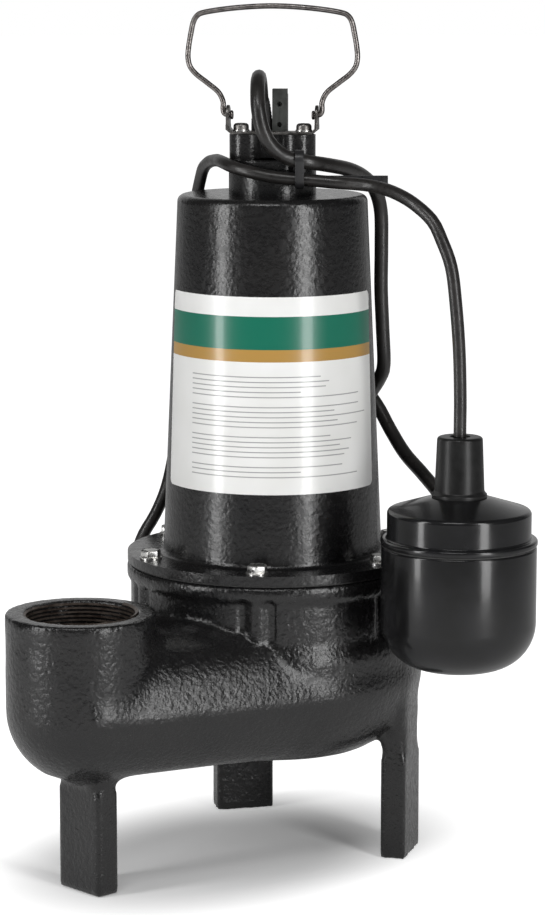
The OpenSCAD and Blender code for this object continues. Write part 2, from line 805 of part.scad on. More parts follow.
// A piled coil: the radius runs in and out at a steady rate, and the coil climbs a layer
// in the half turn where it reverses
coil_layers = 6;
coil_per_layer = 2;
function clamp(v) = max(0, min(1, v));
function coil_radius(s, outer, step) = let (p = s % (2 * coil_per_layer))
    outer - step * (p < coil_per_layer ? p : 2 * coil_per_layer - p);
function coil_layer(s) = let (m = min(round(s / coil_per_layer), coil_layers - 1))
    m == 0 ? 0 : m - 1 + clamp((s - m * coil_per_layer + 0.25) / 0.5);
function coil_point(s, turns, outer, step, first, way) =
    let (r = coil_radius(s, outer, step), a = first + way * 360 * s)
    [r * cos(a), step * coil_layer(s), r * sin(a)];
function coil_way(s, first, way) = let (a = first + way * 360 * s) way * [-sin(a), 0, cos(a)];
function coil(turns, outer, step, first, way, lead) = concat(
    [coil_point(0, turns, outer, step, first, way) - lead * coil_way(0, first, way)],
    [for (i = [0 : turns * cord_steps]) coil_point(i / cord_steps, turns, outer, step, first, way)],
    [coil_point(turns, turns, outer, step, first, way) + lead * coil_way(turns, first, way)]);

power_step = power_cord_d + 0.6;
power_coil_r = 44.5;
power_coil_turns = 11.75;
power_coil_at = [8, 66, flange_top + screw_washer_t + screw_head_h + seat + power_coil_r + cord_r];
power_coil = coil(power_coil_turns, power_coil_r, power_step, 0, -1, power_cord_d);
float_step = float_cord_d + 0.6;
float_coil_r = 39.4;
float_coil_turns = 12;
float_coil_at = [-6, 61.5, power_coil_at.z + power_coil_r + cord_r + seat + float_coil_r + float_cord_r];
float_coil = coil(float_coil_turns, float_coil_r, float_step, 180, 1, float_cord_d);

power_cord_points = concat(
    [[gland_place.x, gland_place.y, cap_top + 1], [gland_place.x, gland_place.y, cap_top + gland_h + 5]],
    [[-6.3, 6, 421], [-6.8, -2, 428], [-7.3, -12, 431], [-7.8, -23, 429.5], [-8, -32, 423.5], [-7.5, -37.5, 414],
    [-5, -38.5, 403], [0, -37, 394.5], [9, -33, 388], [20, -31.5, 386], [30, -23, 384], [42, -7, 380.5],
    [51, 9, 375], [57, 20, 367.5], [60.5, 27, 355], [61, 29, 335], [61, 31, 312], [62, 33, 290], [63, 36, 268],
    [61, 43, 259], [56.5, 56, 249]],
    [power_coil_at + power_coil[0] + [0, 0, 10], power_coil_at + power_coil[0]]);
power_tail_points = concat(
    [power_coil_at + power_coil[len(power_coil) - 1], power_coil_at + power_coil[len(power_coil) - 1] + [6, 0, 0]],
    [[36, 107.5, 259.5], [50, 104, 249], [61, 98, 236], [69, 90, 222], [77, 78, 210], [87, 64, 200],
    [96, 52, 190], [101, 46, 180], [102, 45, 170]]);
float_run_points = concat(
    [float_coil_at + float_coil[0], float_coil_at + float_coil[0] + [0, 0, 8]],
    [[-45.5, 58, 340], [-44.5, 54, 352], [-42.5, 49, 363], [-40.5, 41, 372], [-38.5, 31, 378.8],
    [-35, 19, 383], [-30.5, 5, 384.8], [-26.8, -9.3, 384.5], [-21, -20.6, 382.6], [-10.3, -27.4, 380],
    [3, -30, 377.6], [20, -31, 376.3]]);
float_tail_points = concat(
    [float_coil_at + float_coil[len(float_coil) - 1], float_coil_at + float_coil[len(float_coil) - 1] - [0, 0, 8]],
    [[-47, 99, 278], [-51, 96, 253], [-55, 89, 228], [-58, 80, 207], [-62, 71, 190], [-68, 66.5, 176],
    [-75, 67, 164], [-79, 72, 152], [-79, 80, 141], [-76, 86, 130], [-75, 87, 120]]);
// The float's cord flexes at this point, where it leaves the neck
flex_point = [36, -33, 375];
flex_way = unit([12.9, -1, -1.1]);
float_free_points = concat([flex_point],
    [[46, -37, 374.6], [55, -42, 373.7], [64, -52, 371.6], [74, -62, 366.7], [84, -70, 358], [89, -75, 348],
    [94, -78, 334], [96.5, -79.5, 315], [98.5, -80, 290], [99.3, -80, 265]],
    [[float_place.x, float_place.y, boot_top + 8], [float_place.x, float_place.y, boot_top]]);

module power_cord() { color(cord_grey) cord_side() tube(power_cord_points, cord_r, 10); }
module power_cord_coil() { color(cord_grey) cord_side() translate(power_coil_at) tube(power_coil, cord_r, 6); }
module power_cord_tail() { color(cord_grey) cord_side() tube(power_tail_points, cord_r, 10); }
module float_cord_run() {
    color(cord_grey) cord_side()
        tube(concat(float_run_points, [flex_point - (float_cord_r + seat) * flex_way]), float_cord_r, 10);
}
module float_cord_coil() {
    color(cord_grey) cord_side() translate(float_coil_at) tube(float_coil, float_cord_r, 6);
}
module float_cord_tail() { color(cord_grey) cord_side() tube(float_tail_points, float_cord_r, 10); }
// The moving length starts with a round end, so that it can turn past the end of the length before it
module float_cord_free() {
    ends = [0.97, 0.85, 0.64, 0.35];
    color(cord_grey) cord_side() tube(
        concat([for (d = ends) flex_point - d * float_cord_r * flex_way], float_free_points),
        concat([for (d = ends) float_cord_r * sqrt(1 - d * d)], [for (p = float_free_points) float_cord_r]), 10);
}

// A nylon tie round both cords where they cross the front of the neck
tie_t = 1.2;
tie_w = 4.8;
tie_at = 14.5;
tie_tail = 48;

module cable_tie() {
    color("black") cord_side() {
        translate([tie_at - tie_w / 2, 0, 0]) rotate([90, 0, 90]) linear_extrude(tie_w) difference() {
            hull() {
                translate([-32.2, 387]) circle(r = cord_r + 0.6 + tie_t, $fn = 40);
                translate([-30.4, 376.8]) circle(r = float_cord_r + 0.6 + tie_t, $fn = 40);
            }
            hull() {
                translate([-32.2, 387]) circle(r = cord_r + 0.6, $fn = 40);
                translate([-30.4, 376.8]) circle(r = float_cord_r + 0.6, $fn = 40);
            }
        }
        translate([tie_at - 3.2, -26, 378]) cube([6.4, 4.6, 7]);
        translate([tie_at, -24.6, 373.6]) cube([tie_tail, tie_t, tie_w]);
        translate([tie_at - 1, -24.6, 373.6]) cube([4.2, tie_t, 6]);
    }
}

// Nylon ties round the coils, one on each
module coil_tie(low_u, high_u, low_d, high_d, z) {
    gap = 0.5;
    translate([low_u - gap - tie_t, low_d - gap - tie_t, z - tie_w / 2]) difference() {
        cube([high_u - low_u + 2 * (gap + tie_t), high_d - low_d + 2 * (gap + tie_t), tie_w]);
        translate([tie_t, tie_t, -1]) cube([high_u - low_u + 2 * gap, high_d - low_d + 2 * gap, tie_w + 2]);
    }
}

module coil_ties() {
    inner_power = power_coil_r - coil_per_layer * power_step;
    inner_float = float_coil_r - coil_per_layer * float_step;
    color("black") cord_side() {
        coil_tie(power_coil_at.x - power_coil_r - cord_r, power_coil_at.x - inner_power + cord_r,
            power_coil_at.y - cord_r, power_coil_at.y + (coil_layers - 1) * power_step + cord_r, power_coil_at.z);
        coil_tie(float_coil_at.x + inner_float - float_cord_r, float_coil_at.x + float_coil_r + float_cord_r,
            float_coil_at.y - float_cord_r, float_coil_at.y + (coil_layers - 1) * float_step + float_cord_r,
            float_coil_at.z);
    }
}

// ---- Plugs ----

plug_w = 26;
plug_t = 22;
plug_l = 38;
relief_l = 20;
blade_w = 6.3;
blade_t = 1.5;
blade_l = 17;

module grip_outline(w, t) {
    for (side = [-1, 1]) translate([side * (w - t) / 2, 0]) circle(r = t / 2, $fn = 48);
    square([w - t, t], center = true);
}

module blades() {
    for (side = [-1, 1])
        translate([side * 6.35 - blade_t / 2, -blade_w / 2 - 2, -blade_l]) cube([blade_t, blade_w, blade_l]);
    translate([0, 6, -blade_l - 3]) cylinder(r = 2.4, h = blade_l + 3, $fn = 40);
}

module at_power_plug() {
    end = power_tail_points[len(power_tail_points) - 1];
    cord_side() translate([end.x, end.y, end.z - relief_l - plug_l]) children();
}

module power_plug() {
    color(plastic) at_power_plug() {
        linear_extrude(plug_l - 8) grip_outline(plug_w, plug_t);
        up(plug_l - 8 - eps) linear_extrude(8 + eps) grip_outline(plug_w - 6, plug_t - 6);
        up(plug_l - eps) cylinder(r1 = 6.5, r2 = cord_r + 0.8, h = relief_l + eps);
    }
}

module power_plug_blades() { color("gold") at_power_plug() blades(); }

// The float's plug has a socket on its back, and its cord enters from above
module at_piggyback() {
    end = float_tail_points[len(float_tail_points) - 1];
    cord_side() translate([end.x, end.y, end.z - relief_l]) children();
}

module facing_back() { translate([0, 18, -plug_w / 2]) rotate([90, 0, 0]) children(); }

module piggyback_plug() {
    depth = 34;
    color(plastic) at_piggyback() {
        difference() {
            facing_back() linear_extrude(depth) grip_outline(plug_w + 2, plug_w);
            facing_back() {
                for (side = [-1, 1])
                    translate([side * 6.35 - 1, -blade_w / 2 - 2.5, depth - 18]) cube([2, blade_w + 1, 19]);
                translate([0, 6, depth - 20]) cylinder(r = 2.7, h = 21, $fn = 40);
            }
        }
        up(-3) cylinder(r1 = 6.5, r2 = float_cord_r + 0.8, h = relief_l + 3);
    }
}

module piggyback_plug_blades() { color("gold") at_piggyback() facing_back() blades(); }

// ---- Float ----

shell_bend = 26;        // rounding of the shell's bottom edge

module float_outside(inset) {
    r = float_r - inset;
    bend = shell_bend - inset;
    intersection() {
        union() {
            translate([r - bend, float_low + shell_bend]) circle(r = bend);
            translate([0, float_low + inset]) square([r - bend, float_h]);
            translate([0, float_low + shell_bend]) square([r, float_rim - float_low - shell_bend + inset]);
        }
        translate([0, float_low]) square([r + 1, float_rim - float_low + inset]);
    }
}

module float_shell() {
    color(plastic) at_float() rotate_extrude() difference() {
        float_outside(0);
        float_outside(float_wall);
    }
}

module float_gasket() {
    color(rubber) at_float() up(float_rim) ring(float_r - 0.4, float_r - float_wall, float_gasket_t);
}

tube_r = switch_ball_r + 2.6;
tube_h = 52;
tube_top = float_cap_top - cap_cone_h - float_wall;
boot_hole = 9;

module float_cap() {
    lip_r = float_r + lip_over;
    cone_z = float_cap_top - cap_cone_h;
    color(plastic) at_float() rotate_extrude() difference() {
        polygon([[0, float_cap_low], [lip_r, float_cap_low], [lip_r, float_cap_low + lip_t],
            [float_cap_r, float_cap_low + lip_t], [float_cap_r, cone_z - 1], [float_cap_r - 1, cone_z],
            [boot_r_low + 2, float_cap_top], [0, float_cap_top]]);
        translate([-1, float_cap_low - 1]) square([float_cap_r - float_wall + 1, tube_top - float_cap_low + 1]);
        translate([-1, float_cap_low]) square([boot_hole + 1, float_cap_h + 1]);
    }
}

module float_boot() {
    color(rubber) at_float() difference() {
        union() {
            up(float_cap_top) cylinder(r1 = boot_r_low, r2 = boot_r_top, h = boot_h);
            up(tube_top) cylinder(r = boot_hole - fit, h = float_cap_top - tube_top + eps);
        }
    }
}

module switch_tube() {
    color("whitesmoke") at_float() up(tube_top - tube_h) difference() {
        union() {
            cylinder(r = tube_r, h = tube_h);
            up(tube_h - 2) cylinder(r = tube_r + 7, h = 2);
        }
        up(2) cylinder(r = switch_ball_r + 0.3, h = tube_h - 14);
    }
}

module switch_ball() {
    color("silver") at_float() up(tube_top - tube_h + 2 + switch_ball_r + fit) sphere(r = switch_ball_r);
}

volute_casing();
casing_gasket();
seal_plate();
seal_plate_o_ring();
motor_housing();
flange_screws();
flange_washers();
stator_core();
stator_windings();
bearing_bracket();
bracket_snap_ring();
upper_bearing_outer_race();
upper_bearing_inner_race();
upper_bearing_balls();
upper_bearing_cage();
lower_bearing_outer_race();
lower_bearing_inner_race();
lower_bearing_balls();
lower_bearing_cage();
motor_shaft();
rotor_core();
rotor_end_rings();
seal_seat();
seal_ring();
seal_spring();
impeller();
impeller_washer();
impeller_nut();
run_capacitor();
capacitor_clip();
overload_protector();
top_cap();
cap_gasket();
cap_screws();
cap_screw_washers();
handle_strap();
bail_handle();
cord_gland();
cord_clamp();
cable_tie();
power_cord();
power_cord_coil();
power_cord_tail();
power_plug();
power_plug_blades();
coil_ties();
float_cord_run();
float_cord_coil();
float_cord_tail();
piggyback_plug();
piggyback_plug_blades();
float_shell();
float_cap();
float_gasket();
float_boot();
float_cord_free();
switch_tube();
switch_ball();
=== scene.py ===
import bmesh
import bpy
import math
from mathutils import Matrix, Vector


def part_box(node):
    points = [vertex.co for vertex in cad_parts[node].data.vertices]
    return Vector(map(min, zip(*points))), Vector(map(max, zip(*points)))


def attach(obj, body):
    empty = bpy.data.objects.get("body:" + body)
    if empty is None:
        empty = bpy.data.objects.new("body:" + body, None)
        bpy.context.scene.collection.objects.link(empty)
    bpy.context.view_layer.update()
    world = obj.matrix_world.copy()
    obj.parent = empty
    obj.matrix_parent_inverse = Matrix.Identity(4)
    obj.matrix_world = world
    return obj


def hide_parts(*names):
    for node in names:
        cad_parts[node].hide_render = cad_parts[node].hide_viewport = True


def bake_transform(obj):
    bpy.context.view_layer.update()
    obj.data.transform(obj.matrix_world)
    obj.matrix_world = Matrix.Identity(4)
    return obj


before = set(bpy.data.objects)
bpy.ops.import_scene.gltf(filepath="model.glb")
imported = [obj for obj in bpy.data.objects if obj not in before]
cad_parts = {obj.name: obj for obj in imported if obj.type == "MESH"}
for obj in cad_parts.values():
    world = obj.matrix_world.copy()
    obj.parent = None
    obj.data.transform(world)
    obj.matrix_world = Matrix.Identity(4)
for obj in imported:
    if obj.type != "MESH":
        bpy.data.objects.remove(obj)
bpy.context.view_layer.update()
bpy.ops.object.select_all(action='DESELECT')

# ---- Camera ----
# A long lens stands a little above the handle and looks down at the pump from the outlet's side, so that
# its upright lines stay nearly upright.
MM = 0.001                                      # sizes are written in millimetres, and the frame is in metres
shaft = Vector((49.1, 43.125, 0)) * MM          # the motor's axis on the floor
view_turn = math.radians(-43.5)
camera_far, camera_high = 1.6898, 0.4937
camera_dip = math.radians(9.2)
camera_data = bpy.data.cameras.new("camera")
camera_data.lens = 120.96
camera_data.sensor_width = 36
camera_data.clip_end = 20
camera = bpy.data.objects.new("camera", camera_data)
camera.location = (shaft.x + camera_far * math.sin(view_turn),
                   shaft.y - camera_far * math.cos(view_turn), camera_high)
camera.rotation_euler = (math.radians(90) - camera_dip, 0, view_turn)
bpy.context.collection.objects.link(camera)
bpy.context.scene.camera = camera
bpy.context.scene.view_settings.view_transform = 'Standard'

# ---- Floor, room and lamps ----
# The floor is white paper, which keeps the pump's soft shadow, and its glow is turned down in an oval round
# the pump: a painted shadow that darkens the real one. In mirrors the room is white behind the pump and dim
# in front of it, so that black paint stays black. Two tall soft boxes draw the long highlights down the
# housing, and one above lights the upper faces.
bpy.ops.mesh.primitive_plane_add(size=30, location=(0, 0, -0.0004))
floor = bpy.context.object
floor.name = "floor"
paper = bpy.data.materials.new("white_paper_with_painted_shadow")
paper.use_nodes = True
floor_tree = paper.node_tree
floor_tree.nodes.clear()


def maths(tree, kind, a, b):
    """One step of arithmetic on two numbers or sockets."""
    node = tree.nodes.new("ShaderNodeMath")
    node.operation = kind
    for socket, value in zip(node.inputs, (a, b)):
        if isinstance(value, (int, float)):
            socket.default_value = value
        else:
            tree.links.new(value, socket)
    return node.outputs[0]


def seen_strength(tree, lighting, mirrored, shown):
    """The strength for rays that light things, for mirrors and glass, and for the camera."""
    path = tree.nodes.new("ShaderNodeLightPath")
    by_camera = path.outputs["Is Camera Ray"]
    mirrors = maths(tree, 'MAXIMUM', path.outputs["Is Glossy Ray"], path.outputs["Is Transmission Ray"])
    lights = maths(tree, 'SUBTRACT', 1, mirrors)
    total = maths(tree, 'ADD', maths(tree, 'MULTIPLY', mirrors, mirrored),
                  maths(tree, 'MULTIPLY', lights, lighting))
    others = maths(tree, 'MULTIPLY', maths(tree, 'SUBTRACT', 1, by_camera), total)
    return maths(tree, 'ADD', others, maths(tree, 'MULTIPLY', by_camera, shown))


def smooth_rise(tree, value, first, last, low, high):
    """A number that goes smoothly from low to high while the value goes from first to last."""
    rise = tree.nodes.new("ShaderNodeMapRange")
    rise.interpolation_type = 'SMOOTHSTEP'
    for key, number in (("From Min", first), ("From Max", last), ("To Min", low), ("To Max", high)):
        rise.inputs[key].default_value = number
    tree.links.new(value, rise.inputs["Value"])
    return rise.outputs[0]


floor_place = floor_tree.nodes.new("ShaderNodeTexCoord")
under_pump = floor_tree.nodes.new("ShaderNodeMapping")
under_pump.vector_type = 'TEXTURE'
under_pump.inputs["Location"].default_value = (0.005, 0.043, 0)
under_pump.inputs["Scale"].default_value = (1.5, 1, 1)
from_pump = floor_tree.nodes.new("ShaderNodeVectorMath")
from_pump.operation = 'LENGTH'
floor_tree.links.new(floor_place.outputs["Object"], under_pump.inputs["Vector"])
floor_tree.links.new(under_pump.outputs["Vector"], from_pump.inputs[0])
# Painted shadow: the floor's glow is 0.05 in the oval under the pump and rises to 0.9 away from it, and
# mirrors see 0.18 of that glow.
painted_shadow_glow = smooth_rise(floor_tree, from_pump.outputs["Value"], 0.045, 0.135, 0.05, 0.9)
mirrored_painted_shadow_glow = maths(floor_tree, 'MULTIPLY', painted_shadow_glow, 0.18)
glow = floor_tree.nodes.new("ShaderNodeEmission")
floor_tree.links.new(seen_strength(floor_tree, 0, mirrored_painted_shadow_glow, painted_shadow_glow), glow.inputs["Strength"])
matt = floor_tree.nodes.new("ShaderNodeBsdfDiffuse")
matt.inputs["Color"].default_value = (0.86, 0.86, 0.86, 1)
both = floor_tree.nodes.new("ShaderNodeAddShader")
floor_out = floor_tree.nodes.new("ShaderNodeOutputMaterial")
floor_tree.links.new(matt.outputs[0], both.inputs[0])
floor_tree.links.new(glow.outputs[0], both.inputs[1])
floor_tree.links.new(both.outputs[0], floor_out.inputs["Surface"])
floor.data.materials.append(paper)

room = bpy.data.worlds.new("room")
bpy.context.scene.world = room
room.use_nodes = True
room_tree = room.node_tree
room_tree.nodes.clear()
direction = room_tree.nodes.new("ShaderNodeTexCoord")
towards_back = room_tree.nodes.new("ShaderNodeVectorMath")
towards_back.operation = 'DOT_PRODUCT'
towards_back.inputs[1].default_value = (-math.sin(view_turn), math.cos(view_turn), 0)
room_tree.links.new(direction.outputs["Generated"], towards_back.inputs[0])
wall_mirrored = smooth_rise(room_tree, towards_back.outputs["Value"], 0.55, 0.98, 0.05, 0.6)
room_light = room_tree.nodes.new("ShaderNodeBackground")
room_light.inputs["Color"].default_value = (1, 1, 1, 1)
room_out = room_tree.nodes.new("ShaderNodeOutputWorld")
room_tree.links.new(seen_strength(room_tree, 0.2, wall_mirrored, 1), room_light.inputs["Strength"])
room_tree.links.new(room_light.outputs[0], room_out.inputs["Surface"])


def soft_box(name, bearing, distance, height, aim_at, wide, tall, watts):
    """A rectangular lamp at a bearing from the camera's side, in degrees, aimed at a height on the shaft."""
    data = bpy.data.lights.new(name, 'AREA')
    data.shape = 'RECTANGLE'
    data.size = wide
    data.size_y = tall
    data.energy = watts
    lamp = bpy.data.objects.new(name, data)
    turn = view_turn + math.radians(bearing)
    lamp.location = (shaft.x + distance * math.sin(turn), shaft.y - distance * math.cos(turn), height)
    aim = Vector((shaft.x, shaft.y, aim_at)) - lamp.location
    lamp.rotation_euler = aim.to_track_quat('-Z', 'Y').to_euler()
    bpy.context.collection.objects.link(lamp)


soft_box("left_box", bearing=-60, distance=1.25, height=0.66, aim_at=0.66, wide=0.22, tall=1.3, watts=9)
soft_box("right_box", bearing=38, distance=1.25, height=0.66, aim_at=0.66, wide=0.27, tall=1.3, watts=10.5)
soft_box("top_box", bearing=-10, distance=1.2, height=1.7, aim_at=0.22, wide=0.9, tall=0.25, watts=7.5)

# ---- Pump casing ----
# The volute, its outlet elbow and three legs are one grey iron sand casting. It is spray-painted black, so
# every inner corner is soft, every edge a little round, and the grain of the sand shows in the gloss.


def new_material(name, color, roughness, metallic=0.0, specular=0.5, coat=0.0, coat_roughness=0.03):
    """A Principled material with these values on its shader."""
    made = bpy.data.materials.new(name)
    made.use_nodes = True
    sockets = made.node_tree.nodes["Principled BSDF"].inputs
    sockets["Base Color"].default_value = (*color, 1)
    sockets["Roughness"].default_value = roughness
    sockets["Metallic"].default_value = metallic
    sockets["Specular IOR Level"].default_value = specular
    sockets["Coat Weight"].default_value = coat
    sockets["Coat Roughness"].default_value = coat_roughness
    return made


def grain(material, scale, detail, stretch=(1, 1, 1)):
    """Noise in the object's own place, with so many features to the metre."""
    tree = material.node_tree
    place = tree.nodes.new("ShaderNodeTexCoord")
    turn = tree.nodes.new("ShaderNodeMapping")
    turn.inputs["Scale"].default_value = stretch
    noise = tree.nodes.new("ShaderNodeTexNoise")
    noise.inputs["Scale"].default_value = scale
    noise.inputs["Detail"].default_value = detail
    tree.links.new(place.outputs["Object"], turn.inputs["Vector"])
    tree.links.new(turn.outputs["Vector"], noise.inputs["Vector"])
    return noise.outputs["Fac"]


def ramp(material, pattern, low, high, at=(0.3, 0.7)):
    """A pattern turned into colours between two colours, or into greys between two numbers."""
    shades = material.node_tree.nodes.new("ShaderNodeValToRGB")
    for element, shade, place in zip(shades.color_ramp.elements, (low, high), at):
        element.color = (*shade, 1) if isinstance(shade, tuple) else (shade, shade, shade, 1)
        element.position = place
    material.node_tree.links.new(pattern, shades.inputs["Fac"])
    return shades.outputs["Color"]


def mottle(material, key, pattern, low, high, at=(0.3, 0.7)):
    """Lets the material's colour or roughness wander between two values, as a pattern does."""
    shader = material.node_tree.nodes["Principled BSDF"]
    material.node_tree.links.new(ramp(material, pattern, low, high, at), shader.inputs[key])


def bumps(material, pattern, depth, strength):
    """Adds a pattern of heights, so many metres deep, to the material's bumps."""
    tree = material.node_tree
    normal = tree.nodes["Principled BSDF"].inputs["Normal"]
    bump = tree.nodes.new("ShaderNodeBump")
    bump.inputs["Strength"].default_value = strength
    bump.inputs["Distance"].default_value = depth
    tree.links.new(pattern, bump.inputs["Height"])
    if normal.links:
        tree.links.new(normal.links[0].from_socket, bump.inputs["Normal"])
    tree.links.new(bump.outputs["Normal"], normal)


def put_on(nodes, material):
    """Gives the material to CAD nodes, by name, or to new pieces, in place of what they had."""
    for node in nodes:
        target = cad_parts[node] if isinstance(node, str) else node
        if not target.material_slots:
            target.data.materials.append(material)
        for slot in target.material_slots:
            slot.material = material


def black_casting(name, gloss, pits, swell):
    """Black enamel over sand-cast iron: fine pits all over, and a slower swell where the mould gave."""
    made = new_material(name, (0.012, 0.012, 0.013), 0.36, specular=0.45, coat=0.15, coat_roughness=0.16)
    mottle(made, "Base Color", grain(made, 26, 3), (0.005, 0.005, 0.0055), (0.010, 0.0095, 0.0095))
    mottle(made, "Roughness", grain(made, 300, 5), gloss, gloss + 0.16)
    bumps(made, grain(made, 420, 3), pits, 0.4)
    bumps(made, grain(made, 90, 3), 0.0014, swell)
    return made


def work_on(target):
    """Selects one object alone, ready for an operator."""
    if bpy.context.object and bpy.context.object.mode != 'OBJECT':
        bpy.ops.object.mode_set(mode='OBJECT')
    bpy.ops.object.select_all(action='DESELECT')
    target.select_set(True)
    bpy.context.view_layer.objects.active = target


def apply_modifier(target, kind, **settings):
    """Adds a modifier with these settings and applies it."""
    work_on(target)
    modifier = target.modifiers.new(kind.lower(), kind)
    for key, value in settings.items():
        setattr(modifier, key, value)
    bpy.ops.object.modifier_apply(modifier=modifier.name)


def copy_of(node, name):
    """A new piece that starts as a merged copy of a CAD node."""
    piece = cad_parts[node].copy()
    piece.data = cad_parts[node].data.copy()
    piece.name = name
    for key in list(piece.keys()):
        del piece[key]
    piece.parent = None
    bpy.context.collection.objects.link(piece)
    work_on(piece)
    bpy.ops.object.mode_set(mode='EDIT')
    bpy.ops.mesh.select_all(action='SELECT')
    bpy.ops.mesh.remove_doubles(threshold=0.00002)
    bpy.ops.object.mode_set(mode='OBJECT')
    return piece


def points_where(piece, name, test):
    """A vertex group of the points that pass a test, with the test's number as weight."""
    group = piece.vertex_groups.new(name=name)
    for point in piece.data.vertices:
        weight = test(point.co)
        if weight > 0:
            group.add([point.index], min(1, weight), 'REPLACE')


casing_paint = black_casting("painted_cast_iron", 0.18, 0.0014, 0.35)
casing = copy_of("volute_casing", "casting")
first_boss, boss_half = 40, 7.6                 # the first screw boss and half a boss, in degrees
collar_in, collar_out = 74, 79.2
collar_low, collar_high = 119.5, 152
panel_corners = ((collar_in, collar_low), (collar_out, collar_low),
                 (collar_in, collar_high), (collar_out, collar_high))
bpy.ops.object.select_all(action='DESELECT')
panels = []                                     # the collar stands out a little between the bosses
for i in range(6):
    start = math.radians(first_boss + 60 * i + boss_half)
    sweep = math.radians(60 - 2 * boss_half)
    bpy.ops.mesh.primitive_plane_add(size=1, location=(0, 0, 0))
    panel = bpy.context.object
    for point, (r, z) in zip(panel.data.vertices, panel_corners):
        point.co = (r * MM * math.cos(start), r * MM * math.sin(start), z * MM)
    bpy.ops.object.mode_set(mode='EDIT')
    bpy.ops.mesh.select_all(action='SELECT')
    bpy.ops.mesh.spin(steps=24, angle=-sweep, center=(0, 0, 0), axis=(0, 0, 1))
    bpy.ops.mesh.select_all(action='SELECT')
    bpy.ops.mesh.remove_doubles(threshold=0.00001)
    bpy.ops.mesh.normals_make_consistent(inside=False)
    bpy.ops.object.mode_set(mode='OBJECT')
    for point in panel.data.vertices:
        point.co += shaft
    panels.append(panel)
work_on(casing)
for panel in panels:
    panel.select_set(True)
bpy.ops.object.join()
casing = bpy.context.object
apply_modifier(casing, 'REMESH', mode='VOXEL', voxel_size=1.75 * MM, use_smooth_shade=True)

body_low, body_high = 56, 146                   # from the tops of the legs to just below the joint face
outlet_far, bore_r = 140.2, 34                  # from the shaft to the outlet, and the bore of the way
way_long, way_half, way_z = 127.6, 40.1, 101    # the water's way widens from the outlet to the snail
collar_r, collar_root, hub_root = 82, 118, 100
room_r, room_low = 74, 63
snail_edge, fade = -10, 6                       # where the way meets the snail, and where rounding fades


def soft_place(p):
    """How much the sand rounded a place: the snail's outside, and not its bores, legs and collar."""
    x, y, z = (p.x - shaft.x) / MM, abs(p.y - shaft.y) / MM, p.z / MM
    from_axis, from_outlet = math.hypot(x, y), math.hypot(x + outlet_far, y)
    way_edge = min(1, max(0, (x + outlet_far) / way_long)) * way_half
    from_way = math.hypot(max(0, y - way_edge), z - way_z)
    in_outlet = from_outlet < bore_r and z > hub_root
    in_collar = from_axis < collar_r and z > collar_root
    in_room = from_axis < room_r and z > room_low
    in_way = x < snail_edge and from_way < bore_r
    if z < body_low or z > body_high or in_outlet or in_collar or in_room or in_way:
        return 0
    return min(1, (z - body_low) / fade, (body_high - z) / fade)


points_where(casing, "soft", soft_place)
points_where(casing, "all_over", lambda p: 0.6)
apply_modifier(casing, 'SMOOTH', factor=0.7, iterations=60, vertex_group="soft")
apply_modifier(casing, 'SMOOTH', factor=0.5, iterations=2, vertex_group="all_over")
ridge_z, ridge_h, ridge_out = 100, 8, 1.5       # the swelling along the joint of the mould's two halves
moves = []
for point in casing.data.vertices:
    swell = soft_place(point.co) * math.exp(-((point.co.z / MM - ridge_z) / ridge_h) ** 2) * ridge_out * MM
    if swell > 0.00001 and abs(point.normal.z) < 0.8:
        moves.append((point.index, Vector((point.normal.x, point.normal.y, 0)).normalized() * swell))
for i, move in moves:
    casing.data.vertices[i].co += move
for face in casing.data.polygons:
    face.use_smooth = True
casing.data.materials.clear()
put_on([casing], casing_paint)
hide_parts("volute_casing")
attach(casing, "pump")

# ---- Outlet thread ----
# The elbow's hub is tapped with a tapered 2 inch pipe thread, whose crests stand a millimetre into the bore.
# It is cut after the casting is painted, so it is bare iron that has gone brown in the air.
thread_root, thread_crest = 30.6, 29            # radii
thread_pitch, thread_low, thread_turns = 2.2, 127.5, 11
thread_profile = [(thread_root, 0), (thread_crest, 0.75), (thread_crest, 1.15), (thread_root, 1.9)]


def screwed(name, profile, place, pitch, turns, steps=64):
    """A closed profile, in radius and height, turned round an upright axis, and rising by a pitch each turn
    where there is one."""
    bpy.ops.mesh.primitive_circle_add(vertices=len(profile), radius=MM, location=place)
    piece = bpy.context.object
    piece.name = name
    for point, (r, z) in zip(piece.data.vertices, profile):
        point.co = (r * MM, 0, z * MM)
    apply_modifier(piece, 'SCREW', axis='Z', angle=math.tau, screw_offset=pitch * MM, iterations=turns,
                   steps=steps, render_steps=steps, use_merge_vertices=pitch == 0, merge_threshold=0.00001)
    bpy.ops.object.transform_apply()
    bpy.ops.object.mode_set(mode='EDIT')
    bpy.ops.mesh.select_all(action='SELECT')
    if pitch:
        bpy.ops.mesh.fill_holes(sides=0)
    bpy.ops.mesh.normals_make_consistent(inside=False)
    bpy.ops.mesh.faces_shade_smooth()
    bpy.ops.object.mode_set(mode='OBJECT')
    return piece


bare_iron = new_material("bare_cast_iron", (0.10, 0.075, 0.06), 0.42, 0.7)
mottle(bare_iron, "Base Color", grain(bare_iron, 240, 5), (0.045, 0.03, 0.022), (0.17, 0.14, 0.12))
bumps(bare_iron, grain(bare_iron, 900, 3), 0.0002, 0.5)
outlet_place = (shaft.x - outlet_far * MM, shaft.y, thread_low * MM)
outlet_thread = screwed("outlet_thread", thread_profile, outlet_place, thread_pitch, thread_turns)
bpy.ops.object.shade_smooth_by_angle(angle=math.radians(30))
put_on([outlet_thread], bare_iron)
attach(outlet_thread, "pump")

